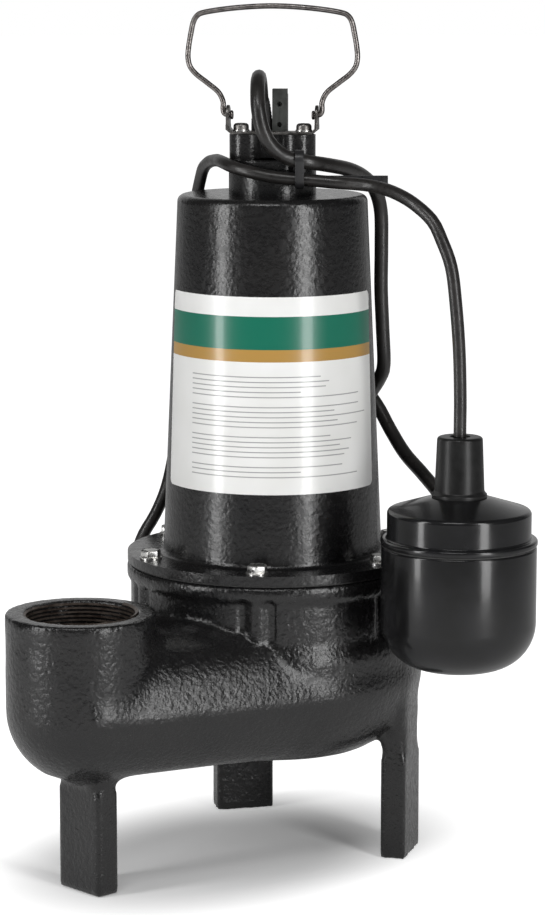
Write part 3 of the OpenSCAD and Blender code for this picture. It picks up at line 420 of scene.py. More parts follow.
# ---- Gasket, seal plate and its ring ----
# A sheet gasket of nitrile rubber lies between casing and motor. The iron seal plate behind it closes
# the motor's oil room, with a rubber ring in a groove.
rubber = new_material("nitrile_rubber", (0.02, 0.019, 0.018), 0.62)
mottle(rubber, "Base Color", grain(rubber, 500, 3), (0.014, 0.014, 0.014), (0.03, 0.029, 0.028))
bumps(rubber, grain(rubber, 1400, 2), 0.0001, 0.5)
put_on(["casing_gasket", "seal_plate_o_ring", "cap_gasket", "float_gasket"], rubber)
machined_iron = new_material("machined_iron", (0.2, 0.2, 0.2), 0.4, 0.9)
mottle(machined_iron, "Base Color", grain(machined_iron, 90, 4), (0.10, 0.10, 0.10), (0.26, 0.26, 0.255))
bumps(machined_iron, grain(machined_iron, 400, 4, (0.3, 0.3, 12)), 0.0001, 0.5)
put_on(["seal_plate", "bearing_bracket"], machined_iron)

# ---- Motor housing ----
# A slightly tapered grey iron casting, turned only on its flange and at its mouth, and painted as the
# casing is. Oil fills it, so the motor shows nowhere.
housing_paint = black_casting("painted_housing_iron", 0.18, 0.0007, 0.16)
put_on(["motor_housing", "top_cap"], housing_paint)

# ---- Label ----
# A laminated polyester label wraps half round the housing. It is bare of words here: a green band over a
# gold stripe, and plain grey rules below on white.
label_low, label_high = 209, 315.5
label_from, label_to = -74, 70                  # degrees about the shaft, from the middle of the front
label_corner, label_thick, label_clear = 3.5, 0.1, 0.12
label_mid_r, label_strips = 57.0, 56
housing_low, housing_high = 168.5, 366.8
housing_r_low, housing_r_high = 61, 52.3


def housing_r(z):
    """The housing's outer radius at a height, both in millimetres."""
    return housing_r_low + (housing_r_high - housing_r_low) * (z - housing_low) / (housing_high - housing_low)


label_wide = math.radians(label_to - label_from) * label_mid_r
bpy.ops.mesh.primitive_plane_add(size=1, location=(0, 0, 0))
label = bpy.context.object
label.name = "label"
bpy.ops.object.mode_set(mode='EDIT')
bpy.ops.transform.resize(value=(label_wide, label_high - label_low, 1))
bpy.ops.mesh.bevel(offset=label_corner, segments=8, affect='VERTICES')
for i in range(1, label_strips):
    bpy.ops.mesh.select_all(action='SELECT')
    bpy.ops.mesh.bisect(plane_co=(label_wide * (i / label_strips - 0.5), 0, 0), plane_no=(1, 0, 0))
bpy.ops.object.mode_set(mode='OBJECT')
sheet = label.data.uv_layers[0]
for loop in label.data.loops:
    x, y, z = label.data.vertices[loop.vertex_index].co
    sheet.data[loop.index].uv = (x / label_wide + 0.5, y / (label_high - label_low) + 0.5)
facing = math.radians(226.5)                    # direction that the middle of the front looks to
for point in label.data.vertices:
    z = point.co.y + (label_low + label_high) / 2
    r = housing_r(z) + label_clear
    turn = facing + point.co.x / housing_r(z) + math.radians(label_from + label_to) / 2
    point.co = (shaft.x + r * math.cos(turn) * MM, shaft.y + r * math.sin(turn) * MM, z * MM)
apply_modifier(label, 'SOLIDIFY', thickness=label_thick * MM, offset=-1)
bpy.ops.object.shade_smooth_by_angle(angle=math.radians(40))

printed = new_material("printed_label", (0.8, 0.8, 0.78), 0.3, coat=0.35, coat_roughness=0.12)
print_tree = printed.node_tree
rules_low, rules_high, rule_pitch = 8.1, 64.8, 2.7      # up from the label's lower edge
stripe_low, band_low, band_high = 71.6, 78.2, 96.0
rule_bottom, rule_top, paragraph = 0.40, 0.62, 6        # shares of a row, and rows to a paragraph
rules_from, rules_to, rules_stray = 0.17, 0.62, 0.33    # shares of the label's width


def worked(kind, a, b):
    """One step of arithmetic on the label's print."""
    return maths(print_tree, kind, a, b)


def between(value, low, high):
    """One where the value is between the two, and nought elsewhere."""
    return worked('MULTIPLY', worked('GREATER_THAN', value, low), worked('LESS_THAN', value, high))


def over(mask, below, ink):
    """An ink printed over what is below, where the mask is one."""
    mix = print_tree.nodes.new("ShaderNodeMix")
    mix.data_type = 'RGBA'
    print_tree.links.new(mask, mix.inputs["Factor"])
    print_tree.links.new(below, mix.inputs["A"])
    mix.inputs["B"].default_value = (*ink, 1)
    return mix.outputs["Result"]


flat_place = print_tree.nodes.new("ShaderNodeUVMap")
flat_place.uv_map = label.data.uv_layers[0].name
split = print_tree.nodes.new("ShaderNodeSeparateXYZ")
print_tree.links.new(flat_place.outputs["UV"], split.inputs[0])
along, up = split.outputs["X"], worked('MULTIPLY', split.outputs["Y"], label_high - label_low)
row = worked('FLOOR', worked('DIVIDE', up, rule_pitch), 0)
in_row = worked('FRACT', worked('DIVIDE', up, rule_pitch), 0)
chance = print_tree.nodes.new("ShaderNodeTexWhiteNoise")
chance.noise_dimensions = '1D'
print_tree.links.new(row, chance.inputs["W"])
reach = worked('ADD', rules_to, worked('MULTIPLY', chance.outputs["Value"], rules_stray))
blank_row = worked('LESS_THAN', worked('MODULO', row, paragraph), 0.5)
rules = worked('MULTIPLY', between(in_row, rule_bottom, rule_top), worked('SUBTRACT', 1, blank_row))
ruled_area = worked('MULTIPLY', between(along, rules_from, reach), between(up, rules_low, rules_high))
white = ramp(printed, grain(printed, 30, 2), (0.76, 0.76, 0.74), (0.83, 0.83, 0.82))
color = over(worked('MULTIPLY', rules, ruled_area), white, (0.33, 0.33, 0.33))
color = over(between(up, band_low, band_high), color, (0.0, 0.14, 0.085))
color = over(between(up, stripe_low, band_low), color, (0.42, 0.24, 0.055))
print_tree.links.new(color, print_tree.nodes["Principled BSDF"].inputs["Base Color"])
put_on([label], printed)
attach(label, "pump")

# ---- Flange screws and washers ----
# Six hexagon head screws, M5 and zinc-plated, hold the motor down on the casing with a plain washer each.
# Their heads are cold-formed, with chamfered corners and a shallow dish in the top.
screw_circle, screw_low, screw_r = 73, 147, 2.5
screw_head_low, screw_head_h, screw_head_r = 169.5, 4.2, 5.6
screw_head_top = screw_head_low + screw_head_h
chamfer, dish_deep = 0.75, 0.35
zinc = new_material("zinc_plate", (0.62, 0.62, 0.6), 0.28, 1.0)
mottle(zinc, "Base Color", grain(zinc, 300, 4), (0.50, 0.50, 0.50), (0.72, 0.71, 0.68))
mottle(zinc, "Roughness", grain(zinc, 700, 3), 0.2, 0.42)
bumps(zinc, grain(zinc, 1200, 2), 0.00008, 0.5)


def joined(pieces, name):
    """Several pieces as one."""
    work_on(pieces[0])
    for piece in pieces:
        piece.select_set(True)
    bpy.ops.object.join()
    whole = bpy.context.object
    whole.name = name
    return whole


def placed_copy(piece, x, y, angle):
    """A copy with its own mesh, turned about the upright axis at the origin and moved to x, y."""
    other = piece.copy()
    other.data = piece.data.copy()
    bpy.context.collection.objects.link(other)
    c, s = math.cos(angle), math.sin(angle)
    for point in other.data.vertices:
        point.co = (x + point.co.x * c - point.co.y * s, y + point.co.x * s + point.co.y * c, point.co.z)
    return other


bpy.ops.object.select_all(action='DESELECT')
bpy.ops.mesh.primitive_cylinder_add(vertices=6, radius=screw_head_r * MM, depth=screw_head_h * MM,
                                    location=(0, 0, (screw_head_low + screw_head_h / 2) * MM))
bpy.ops.object.transform_apply()
hex_head = bpy.context.object
bpy.ops.object.mode_set(mode='EDIT')
bpy.ops.mesh.select_all(action='DESELECT')
hex_mesh = bmesh.from_edit_mesh(hex_head.data)
for face in hex_mesh.faces:
    face.select = face.normal.z > 0.9
bmesh.update_edit_mesh(hex_head.data)
bpy.ops.mesh.inset(thickness=0.6 * MM)
bpy.ops.mesh.inset(thickness=0.15 * MM)
bpy.ops.transform.translate(value=(0, 0, -dish_deep * MM))
bpy.ops.object.mode_set(mode='OBJECT')
for point in hex_head.data.vertices:
    r = math.hypot(point.co.x, point.co.y)
    if point.co.z > (screw_head_top - 0.1) * MM and r > (screw_head_r - 0.3) * MM:
        point.co.z -= chamfer * MM
apply_modifier(hex_head, 'BEVEL', width=0.25 * MM, segments=2, limit_method='ANGLE',
               angle_limit=math.radians(25))
bpy.ops.mesh.primitive_cylinder_add(vertices=32, radius=screw_r * MM, depth=(screw_head_low - screw_low) * MM,
                                    location=(0, 0, (screw_head_low + screw_low) / 2 * MM))
bpy.ops.object.transform_apply()
shank = bpy.context.object
apply_modifier(shank, 'BEVEL', width=0.4 * MM, segments=1, limit_method='ANGLE')
screw = joined([hex_head, shank], "screw")
screws = []
for i in range(6):
    boss = math.radians(first_boss + 60 * i)
    x, y = shaft.x + screw_circle * MM * math.cos(boss), shaft.y + screw_circle * MM * math.sin(boss)
    screws.append(placed_copy(screw, x, y, math.radians(13 * i * i + 8)))
bpy.data.objects.remove(screw)
hex_screws = joined(screws, "hexagon_screws")
bpy.ops.object.shade_smooth_by_angle(angle=math.radians(35))
hex_screws.data.materials.clear()
put_on([hex_screws, "flange_washers", "cap_screw_washers", "bracket_snap_ring"], zinc)
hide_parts("flange_screws")
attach(hex_screws, "pump")

# ---- Motor, bearings and seal ----
# The split-capacitor motor runs in oil: a stack of punched steel sheets, enamelled copper windings, a cast
# aluminium cage on the rotor, ground steel shaft and bearings, and a carbon ring on a ceramic seat.
laminations = new_material("steel_laminations", (0.3, 0.3, 0.31), 0.38, 0.95)
steel_sheets = laminations.node_tree.nodes.new("ShaderNodeTexWave")
steel_sheets.bands_direction = 'Z'
steel_sheets.inputs["Scale"].default_value = 320
steel_place = laminations.node_tree.nodes.new("ShaderNodeTexCoord")
laminations.node_tree.links.new(steel_place.outputs["Object"], steel_sheets.inputs["Vector"])
edges = steel_sheets.outputs["Fac"]
mottle(laminations, "Base Color", edges, (0.16, 0.16, 0.17), (0.36, 0.36, 0.37), (0.1, 0.5))
bumps(laminations, edges, 0.0001, 0.6)
put_on(["stator_core", "rotor_core"], laminations)
copper = new_material("enamelled_copper", (0.5, 0.2, 0.08), 0.3, 0.8, coat=0.6)
mottle(copper, "Base Color", grain(copper, 420, 3, (1, 1, 0.25)), (0.30, 0.09, 0.03), (0.62, 0.27, 0.11))
bumps(copper, grain(copper, 700, 2, (1, 1, 0.2)), 0.0005, 0.8)
put_on(["stator_windings"], copper)
aluminium = new_material("cast_aluminium", (0.6, 0.6, 0.61), 0.45, 1.0)
mottle(aluminium, "Base Color", grain(aluminium, 260, 4), (0.48, 0.48, 0.49), (0.68, 0.68, 0.69))
bumps(aluminium, grain(aluminium, 700, 3), 0.0002, 0.5)
put_on(["rotor_end_rings", "run_capacitor", "capacitor_clip"], aluminium)
ground_steel = new_material("ground_steel", (0.55, 0.55, 0.56), 0.2, 1.0)
mottle(ground_steel, "Roughness", grain(ground_steel, 900, 2, (1, 1, 0.1)), 0.14, 0.3)
mottle(ground_steel, "Base Color", grain(ground_steel, 60, 2), (0.5, 0.5, 0.51), (0.62, 0.62, 0.63))
put_on(["motor_shaft", "upper_bearing_outer_race", "upper_bearing_inner_race", "upper_bearing_balls",
        "lower_bearing_outer_race", "lower_bearing_inner_race", "lower_bearing_balls", "switch_ball",
        "impeller_washer", "impeller_nut", "seal_spring"], ground_steel)
brass = new_material("pressed_brass", (0.62, 0.42, 0.16), 0.25, 1.0)
mottle(brass, "Base Color", grain(brass, 500, 4), (0.52, 0.33, 0.11), (0.72, 0.52, 0.22))
mottle(brass, "Roughness", grain(brass, 300, 3), 0.2, 0.38)
put_on(["upper_bearing_cage", "lower_bearing_cage", "power_plug_blades", "piggyback_plug_blades"], brass)
ceramic = new_material("seal_ceramic", (0.78, 0.76, 0.7), 0.22)
mottle(ceramic, "Base Color", grain(ceramic, 200, 3), (0.72, 0.70, 0.64), (0.82, 0.81, 0.77))
put_on(["seal_seat"], ceramic)
carbon = new_material("seal_carbon", (0.03, 0.03, 0.032), 0.35)
mottle(carbon, "Base Color", grain(carbon, 800, 3), (0.02, 0.02, 0.02), (0.045, 0.045, 0.045))
put_on(["seal_ring"], carbon)
phenolic = new_material("brown_phenolic", (0.12, 0.05, 0.025), 0.35)
mottle(phenolic, "Base Color", grain(phenolic, 150, 4), (0.08, 0.032, 0.015), (0.16, 0.07, 0.035))
put_on(["overload_protector"], phenolic)

# ---- Impeller ----
# A vortex impeller, injection-moulded in glass-filled nylon, which throws the water round without touching
# the solids in it.
filled_nylon = new_material("glass_filled_nylon", (0.10, 0.10, 0.085), 0.45)
mottle(filled_nylon, "Base Color", grain(filled_nylon, 220, 5), (0.075, 0.075, 0.06), (0.14, 0.14, 0.115))
bumps(filled_nylon, grain(filled_nylon, 900, 3), 0.0001, 0.6)
put_on(["impeller"], filled_nylon)

# ---- Strap and bail ----
# The strap is punched and bent from zinc-plated sheet, and its two ears carry the bail, which is bent from
# bright drawn wire and peened inside the ears. Both have gone a little dull.
handle_turn, strap_top, pivot_z = math.radians(-50), 401.0, 409.8


def turned_place(p, turn):
    """A point given sideways, behind the shaft and up, in millimetres, after a turn about the shaft."""
    c, s = math.cos(turn), math.sin(turn)
    return Vector((shaft.x + (p[0] * c - p[1] * s) * MM, shaft.y + (p[0] * s + p[1] * c) * MM, p[2] * MM))


def set_on_handle(piece):
    """Moves a piece made at the origin, in the handle's own directions, to its place."""
    for point in piece.data.vertices:
        point.co = turned_place(point.co / MM, handle_turn)


def smooth_path(places, step):
    """The same route as one smooth curve, with points about a step apart."""
    ends = [places[0] * 2 - places[1]] + places + [places[-1] * 2 - places[-2]]
    route = []
    for a, b, c, d in zip(ends, ends[1:], ends[2:], ends[3:]):
        n = max(1, round((c - b).length / step))
        for i in range(n):
            t = i / n
            route.append(0.5 * (2 * b + (c - a) * t + (2 * a - 5 * b + 4 * c - d) * t * t
                                + (3 * b - a - 3 * c + d) * t ** 3))
    return route + [ends[-2]]


def round_tube(name, route, radius, sides, thickness=lambda t: 1):
    """A round bar along a route, as a mesh, whose thickness may change from its start to its end."""
    curve = bpy.data.curves.new(name, 'CURVE')
    curve.dimensions = '3D'
    curve.bevel_depth = radius
    curve.bevel_resolution = sides // 4 - 1
    curve.use_fill_caps = True
    curve.twist_mode = 'MINIMUM'
    spline = curve.splines.new('POLY')
    spline.points.add(len(route) - 1)
    for i, (point, place) in enumerate(zip(spline.points, route)):
        point.co = (*place, 1)
        point.radius = thickness(i / (len(route) - 1))
    tube = bpy.data.objects.new(name, curve)
    bpy.context.collection.objects.link(tube)
    work_on(tube)
    bpy.ops.object.convert(target='MESH')
    tube = bpy.context.object
    for face in tube.data.polygons:
        face.use_smooth = True
    return tube


drawn_steel = new_material("drawn_steel", (0.22, 0.2, 0.19), 0.33, 1.0)
mottle(drawn_steel, "Base Color", grain(drawn_steel, 420, 4), (0.12, 0.11, 0.105), (0.28, 0.26, 0.25))
mottle(drawn_steel, "Roughness", grain(drawn_steel, 900, 3), 0.24, 0.45)
bumps(drawn_steel, grain(drawn_steel, 1600, 2), 0.0001, 0.5)
wire_r, peen_x, peen_long = 1.5, 21.6, 1.6
half_bow = [(peen_x, 0), (24.2, 0), (26.0, 0.35), (27.0, 1.6), (27.2, 3.6), (27.3, 7.4), (29.9, 12.4),
            (36, 17.4), (42, 22), (45.4, 26.2), (46.5, 31), (46.1, 37), (44.8, 44.4), (43.5, 50.2),
            (41.4, 53.7), (37.5, 55.5), (25.5, 57.4), (12, 58.6), (0, 59)]
bow = half_bow + [(-x, z) for x, z in half_bow[-2::-1]]
bow_places = [turned_place((x, 0, pivot_z + z), handle_turn) for x, z in bow]
bail_wire = round_tube("bail_wire", smooth_path(bow_places, 0.9 * MM), wire_r * MM, 20)
peens = []
for side in (-1, 1):
    peen_place = (side * (peen_x + peen_long / 2) * MM, 0, pivot_z * MM)
    bpy.ops.mesh.primitive_cylinder_add(vertices=28, radius=(wire_r + 1) * MM, depth=peen_long * MM,
                                        location=peen_place, rotation=(0, math.radians(90), 0))
    peen = bpy.context.object
    bpy.ops.object.transform_apply()
    apply_modifier(peen, 'BEVEL', width=0.7 * MM, segments=4, limit_method='ANGLE',
                   angle_limit=math.radians(40))
    set_on_handle(peen)
    peens.append(peen)
bail = joined([bail_wire] + peens, "bail_wire")
bpy.ops.object.shade_smooth_by_angle(angle=math.radians(45))
put_on([bail], drawn_steel)
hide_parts("bail_handle")
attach(bail, "bail")

strap = copy_of("handle_strap", "punched_strap")
apply_modifier(strap, 'BEVEL', width=0.3 * MM, segments=2, limit_method='ANGLE', angle_limit=math.radians(40))
bpy.ops.object.shade_smooth_by_angle(angle=math.radians(35))
dull_zinc = new_material("dull_zinc", (0.2, 0.19, 0.18), 0.4, 1.0)
mottle(dull_zinc, "Base Color", grain(dull_zinc, 160, 4), (0.09, 0.085, 0.08), (0.26, 0.25, 0.24))
mottle(dull_zinc, "Roughness", grain(dull_zinc, 500, 3), 0.3, 0.5)
bumps(dull_zinc, grain(dull_zinc, 1000, 2), 0.0001, 0.5)
strap.data.materials.clear()
put_on([strap], dull_zinc)
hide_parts("handle_strap")
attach(strap, "pump")

# ---- Cap screws ----
# Two slotted pan head screws with plain washers hold the strap and the cap down on the neck. They are
# zinc-plated as the strap is, and their slots stopped at different turns.
pan_low, pan_h, pan_r, pan_round = strap_top + 0.8, 3.6, 4.25, 1.9
slot_long, slot_wide, slot_high = 10, 1.1, 2.4
cap_screw_r, cap_screw_long, cap_screw_reach = 2.1, 28, 17.3
pans = []
for side, turn in ((-1, 25), (1, 68)):
    bpy.ops.mesh.primitive_cylinder_add(vertices=40, radius=pan_r * MM, depth=pan_h * MM,
                                        location=(0, 0, (pan_low + pan_h / 2) * MM))
    pan = bpy.context.object
    bpy.ops.object.transform_apply()
    points_where(pan, "top", lambda p: 1 if p.z > (pan_low + pan_h / 2) * MM else 0)
    apply_modifier(pan, 'BEVEL', width=pan_round * MM, segments=6, limit_method='VGROUP', vertex_group="top")
    bpy.ops.mesh.primitive_cube_add(size=1, location=(0, 0, (pan_low + pan_h) * MM),
                                    rotation=(0, 0, math.radians(turn)))
    slot = bpy.context.object
    bpy.ops.transform.resize(value=(slot_long * MM, slot_wide * MM, slot_high * MM), orient_type='LOCAL')
    bpy.ops.object.transform_apply()
    apply_modifier(pan, 'BOOLEAN', object=slot, operation='DIFFERENCE', solver='EXACT')
    bpy.data.objects.remove(slot)
    bpy.ops.mesh.primitive_cylinder_add(vertices=28, radius=cap_screw_r * MM, depth=cap_screw_long * MM,
                                        location=(0, 0, (pan_low - cap_screw_long / 2 + 0.3) * MM))
    shank = bpy.context.object
    bpy.ops.object.transform_apply()
    whole = joined([pan, shank], "pan_screw")
    for point in whole.data.vertices:
        point.co.x += side * cap_screw_reach * MM
    set_on_handle(whole)
    pans.append(whole)
pan_screws = joined(pans, "pan_head_screws")
bpy.ops.object.shade_smooth_by_angle(angle=math.radians(35))
put_on([pan_screws], dull_zinc)
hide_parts("cap_screws")
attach(pan_screws, "pump")

# ---- Clamp and ties ----
# A grey plastic clamp bar stands on the strap beside the cord, and black nylon ties hold the two cords at
# the neck and the spare cord in its coils. All are moulded, as the plugs are.
moulded_black = new_material("moulded_black", (0.014, 0.014, 0.015), 0.3)
mottle(moulded_black, "Base Color", grain(moulded_black, 120, 3), (0.010, 0.010, 0.011), (0.02, 0.02, 0.021))
mottle(moulded_black, "Roughness", grain(moulded_black, 700, 3), 0.25, 0.4)
bumps(moulded_black, grain(moulded_black, 1500, 2), 0.00005, 0.5)
grey_plastic = new_material("grey_plastic", (0.035, 0.037, 0.035), 0.4)
mottle(grey_plastic, "Base Color", grain(grey_plastic, 300, 4), (0.026, 0.028, 0.026), (0.05, 0.053, 0.05))
bumps(grey_plastic, grain(grey_plastic, 900, 3), 0.0001, 0.6)
put_on(["switch_tube"], grey_plastic)


def eased(node, name, material, ease):
    """A moulding in place of its plain solid, with the edges eased as the tool leaves them."""
    piece = copy_of(node, name)
    apply_modifier(piece, 'BEVEL', width=ease * MM, segments=3, limit_method='ANGLE',
                   angle_limit=math.radians(40))
    bpy.ops.object.shade_smooth_by_angle(angle=math.radians(35))
    piece.data.materials.clear()
    put_on([piece], material)
    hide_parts(node)
    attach(piece, "pump")
    return piece


eased("cord_clamp", "clamp_bar", grey_plastic, 0.5)
eased("cable_tie", "neck_tie", moulded_black, 0.3)
eased("coil_ties", "ties_round_the_coils", moulded_black, 0.3)
power_plug = eased("power_plug", "moulded_power_plug", moulded_black, 0.9)
piggyback_plug = eased("piggyback_plug", "moulded_piggyback_plug", moulded_black, 0.9)

# ---- Power cord ----
# A black rubber-jacketed cord leaves its gland upwards, turns over in a loop, crosses the neck and
# hangs down the back. The rest of it is a piled coil behind the motor, and it ends in a moulded plug.
cord_turn = math.radians(-43.5)


def coil_points(turns, outer, step, first, way, lead, middle):
    """The centre line of a piled coil, two turns to a layer and six layers deep, with straight leads."""
    points, points_a_turn, last_climb = [], 24, 5
    for i in range(int(turns * points_a_turn) + 1):
        wound = i / points_a_turn
        in_four = wound % 4                     # two turns inwards on one layer, and two outwards on the next
        r = outer - step * (in_four if in_four < 2 else 4 - in_four)
        climb = min(math.floor(wound / 2 + 0.5), last_climb)
        climbed = min(1, max(0, (wound - climb * 2 + 0.25) / 0.5))
        layer = 0 if climb == 0 else climb - 1 + climbed
        angle = math.radians(first + way * 360 * wound)
        x, z = middle[0] + r * math.cos(angle), middle[2] + r * math.sin(angle)
        points.append((x, middle[1] + step * layer, z))
    for end, wound, onward in ((0, 0, -1), (-1, turns, 1)):
        angle = math.radians(first + way * 360 * wound)
        run = lead * way * onward
        x, y, z = points[end]
        straight = (x - run * math.sin(angle), y, z + run * math.cos(angle))
        points = [straight] + points if end == 0 else points + [straight]
    return points


def cord_path(places):
    """A cord's smooth centre line, from points given sideways, behind the shaft and up."""
    return smooth_path([turned_place(place, cord_turn) for place in places], 4 * MM)


power_r = 4.0
power_route = [(-5.9, 10.2, 400.4), (-5.9, 10.2, 411.4), (-6.3, 6, 421), (-6.8, -2, 428), (-7.3, -12, 431),
               (-7.8, -23, 429.5), (-8, -32, 423.5), (-7.5, -37.5, 414), (-5, -38.5, 403), (0, -37, 394.5),
               (9, -33, 388), (20, -31.5, 386), (30, -23, 384), (42, -7, 380.5), (51, 9, 375),
               (57, 20, 367.5), (60.5, 27, 355), (61, 29, 335), (61, 31, 312), (62, 33, 290),
               (63, 36, 268), (61, 43, 259), (56.5, 56, 249)]
power_coil = coil_points(turns=11.75, outer=44.5, step=8.6, first=0, way=-1, lead=8, middle=(8, 66, 222.5))
x, y, z = power_coil[0]
into_power_coil = [(x, y, z + 10)]
x, y, z = power_coil[-1]
out_of_power_coil = [(x + 6, y, z)]
power_tail = [(36, 107.5, 259.5), (50, 104, 249), (61, 98, 236), (69, 90, 222), (77, 78, 210), (87, 64, 200),
              (96, 52, 190), (101, 46, 180), (102, 45, 170)]
power_path = cord_path(power_route + into_power_coil + power_coil + out_of_power_coil + power_tail)
power_cord = round_tube("power_cord_whole", power_path, power_r * MM, 20)

jacket = new_material("cord_jacket", (0.014, 0.013, 0.013), 0.34)
mottle(jacket, "Base Color", grain(jacket, 90, 4), (0.010, 0.0095, 0.009), (0.021, 0.019, 0.018))
mottle(jacket, "Roughness", grain(jacket, 400, 3), 0.26, 0.42)
bumps(jacket, grain(jacket, 260, 3), 0.0003, 0.5)
put_on([power_cord], jacket)
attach(power_cord, "pump")
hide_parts("power_cord", "power_cord_coil", "power_cord_tail")

# ---- Strain relief ----
# A sleeve of moulded rubber grips the power cord where it leaves the cap. It has ribs and tapers along the
# cord, so that the cord bends gently.
sleeve_low, sleeve_high, sleeve_long = 0.3994, 0.4205, 0.03
sleeve_thick, sleeve_thin, sleeve_rib = 1.45, 0.37, 0.05    # as shares of the cord's thickness
sleeve_foot, sleeve_ribs = 0.3, 24                          # the plain foot's share of it, and ribs and gaps
gripped = [place for place in power_path
           if place.z < sleeve_high and (place - power_path[0]).length < sleeve_long]
sleeve_route = [Vector((*power_path[0].xy, sleeve_low))] + smooth_path(gripped, 1 * MM)


def sleeve_taper(t):
    """The sleeve's thickness against the cord's, from its foot to its tip."""
    if t < sleeve_foot:
        return sleeve_thick
    rib = sleeve_rib if int(t * sleeve_ribs) % 2 else 0
    return sleeve_thick - sleeve_thin * (t - sleeve_foot) / (1 - sleeve_foot) + rib


sleeve = round_tube("strain_relief_sleeve", sleeve_route, power_r * MM, 28, sleeve_taper)
bpy.ops.object.shade_smooth_by_angle(angle=math.radians(50))
put_on([sleeve], rubber)
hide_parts("cord_gland")
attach(sleeve, "pump")

# ---- Float cord ----
# A thinner cord of the same rubber goes from the float's boot up to the tie at the neck, round the
# neck and down the back to a coil of its own. The real cord flexes just past the tie when the float rises;
# here it is one fixed piece.
float_r = 3.5
float_route = [(99.3, -80, 244.3), (99.3, -80, 252.3), (99.3, -80, 265), (98.5, -80, 290), (96.5, -79.5, 315),
               (94, -78, 334), (89, -75, 348), (84, -70, 358), (74, -62, 366.7), (64, -52, 371.6),
               (55, -42, 373.7), (46, -37, 374.6), (36, -33, 375), (20, -31, 376.3), (3, -30, 377.6),
               (-10.3, -27.4, 380), (-21, -20.6, 382.6), (-26.8, -9.3, 384.5), (-30.5, 5, 384.8),
               (-35, 19, 383), (-38.5, 31, 378.8), (-40.5, 41, 372), (-42.5, 49, 363), (-44.5, 54, 352),
               (-45.5, 58, 340)]
float_coil = coil_points(turns=12, outer=39.4, step=7.6, first=180, way=1, lead=7, middle=(-6, 61.5, 314.2))
x, y, z = float_coil[0]
into_float_coil = [(x, y, z + 8)]
x, y, z = float_coil[-1]
out_of_float_coil = [(x, y, z - 8)]
float_tail = [(-47, 99, 278), (-51, 96, 253), (-55, 89, 228), (-58, 80, 207), (-62, 71, 190),
              (-68, 66.5, 176), (-75, 67, 164), (-79, 72, 152), (-79, 80, 141), (-76, 86, 130),
              (-75, 87, 120)]
float_path = cord_path(float_route + into_float_coil + float_coil + out_of_float_coil + float_tail)
float_cord = round_tube("float_cord_whole", float_path, float_r * MM, 20)
put_on([float_cord], jacket)
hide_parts("float_cord_free", "float_cord_run", "float_cord_coil", "float_cord_tail")
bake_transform(float_cord)

# ---- Float ----
# The float is a glossy black polypropylene shell with a snapped-on cap and a rubber boot where its cord
# goes in. The switch inside is a tube in which a steel ball rolls.
glossy_shell = new_material("polypropylene", (0.008, 0.008, 0.0085), 0.2, specular=0.3, coat=0.2,
                            coat_roughness=0.08)
mottle(glossy_shell, "Base Color", grain(glossy_shell, 60, 3), (0.006, 0.006, 0.006), (0.011, 0.011, 0.012))
mottle(glossy_shell, "Roughness", grain(glossy_shell, 40, 4), 0.16, 0.26)
bumps(glossy_shell, grain(glossy_shell, 50, 2), 0.0006, 0.25)
boot_rubber = new_material("boot_rubber", (0.009, 0.009, 0.009), 0.36, specular=0.3)
mottle(boot_rubber, "Base Color", grain(boot_rubber, 200, 3), (0.005, 0.005, 0.005), (0.012, 0.012, 0.012))
bumps(boot_rubber, grain(boot_rubber, 500, 2), 0.0001, 0.4)


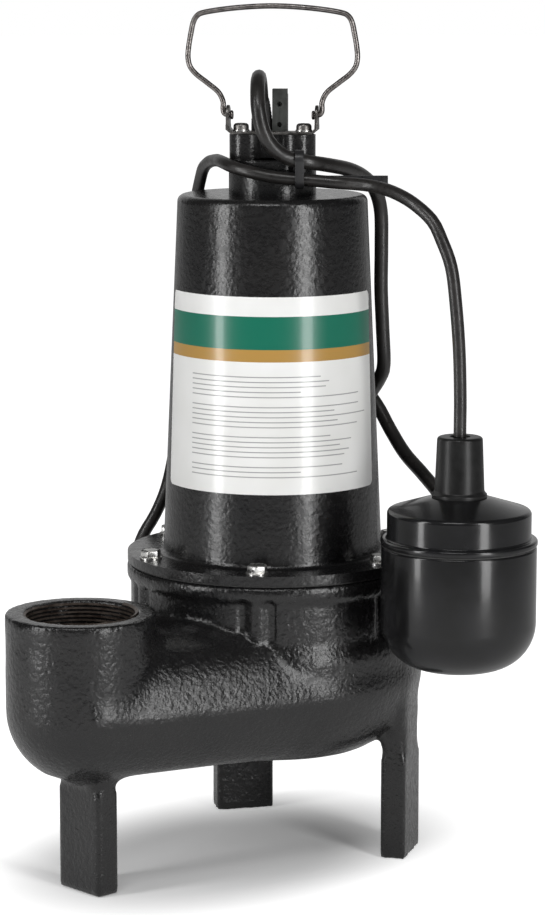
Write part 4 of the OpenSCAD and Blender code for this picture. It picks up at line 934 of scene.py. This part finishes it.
def eased_outline(corners):
    """A closed outline from corners given as radius, height and rounding, with the corners turned to arcs."""
    outline = []
    for i, (r, z, ease) in enumerate(corners):
        if ease == 0:
            outline.append((r, z))
            continue
        corner = Vector((r, z))
        back = (Vector(corners[i - 1][:2]) - corner).normalized()
        ahead = (Vector(corners[(i + 1) % len(corners)][:2]) - corner).normalized()
        half = back.angle(ahead) / 2
        middle = corner + (back + ahead).normalized() * ease / math.sin(half)
        start = corner + back * ease / math.tan(half) - middle
        end = corner + ahead * ease / math.tan(half) - middle
        steps = 4 + round(ease)
        for k in range(steps + 1):
            spoke = start.lerp(end, k / steps).normalized() * ease
            outline.append((middle.x + spoke.x, middle.y + spoke.y))
    return outline


float_base, float_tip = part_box("float_shell")
float_at = ((float_base[0] + float_tip[0]) / 2, (float_base[1] + float_tip[1]) / 2, 0)
float_low, float_rim, float_side, float_wall = 118.6, 185.5, 41.5, 2.5
cap_low, cap_shoulder, cap_top = 186.3, 204.8, 211.8
cap_side, cap_lip, cap_hole = 38.5, 41.9, 9
cap_lip_h, cap_wall = 3.5, 2.5
boot_out, boot_foot, boot_foot_top, boot_top = 14.7, 211.7, 213.6, 244.3
boot_hole, boot_end = 3.6, 204.5


def float_part(name, node, corners, material):
    """A turned moulding of the float in place of its plain solid."""
    piece = screwed(name, eased_outline(corners), float_at, 0, 1, 112)
    bpy.ops.object.shade_smooth_by_angle(angle=math.radians(35))
    put_on([piece], material)
    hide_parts(node)
    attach(piece, "float")


bowl_corners = [(0, float_low, 0), (float_side, float_low + 1, 25.5), (float_side, float_rim, 1.1),
                (float_side - float_wall, float_rim, 0.4), (float_side - float_wall, float_low + 3.5, 23),
                (0, float_low + float_wall, 0)]
lid_corners = [(cap_lip, cap_low, 0.9), (cap_lip, cap_low + cap_lip_h, 1.3),
               (cap_side, cap_low + cap_lip_h, 0.9), (cap_side, cap_shoulder, 2.6),
               (15.8, cap_top, 1.5), (cap_hole, cap_top, 0),
               (cap_hole, cap_shoulder - cap_wall, 0), (cap_side - cap_wall, cap_shoulder - cap_wall, 2),
               (cap_side - cap_wall, cap_low, 0.5)]
boot_corners = [(boot_out, boot_foot, 0.3), (boot_out, boot_foot_top, 0.9), (13.3, 215, 2),
                (12.1, boot_top, 1.7), (5.6, boot_top, 0.6), (4.6, boot_top - 1.5, 0.3),
                (boot_hole, boot_top - 1.5, 0), (boot_hole, boot_end, 0), (8.9, boot_end, 0),
                (8.9, boot_foot, 0)]
float_part("float_bowl", "float_shell", bowl_corners, glossy_shell)
float_part("float_lid", "float_cap", lid_corners, glossy_shell)
float_part("boot", "float_boot", boot_corners, boot_rubber)
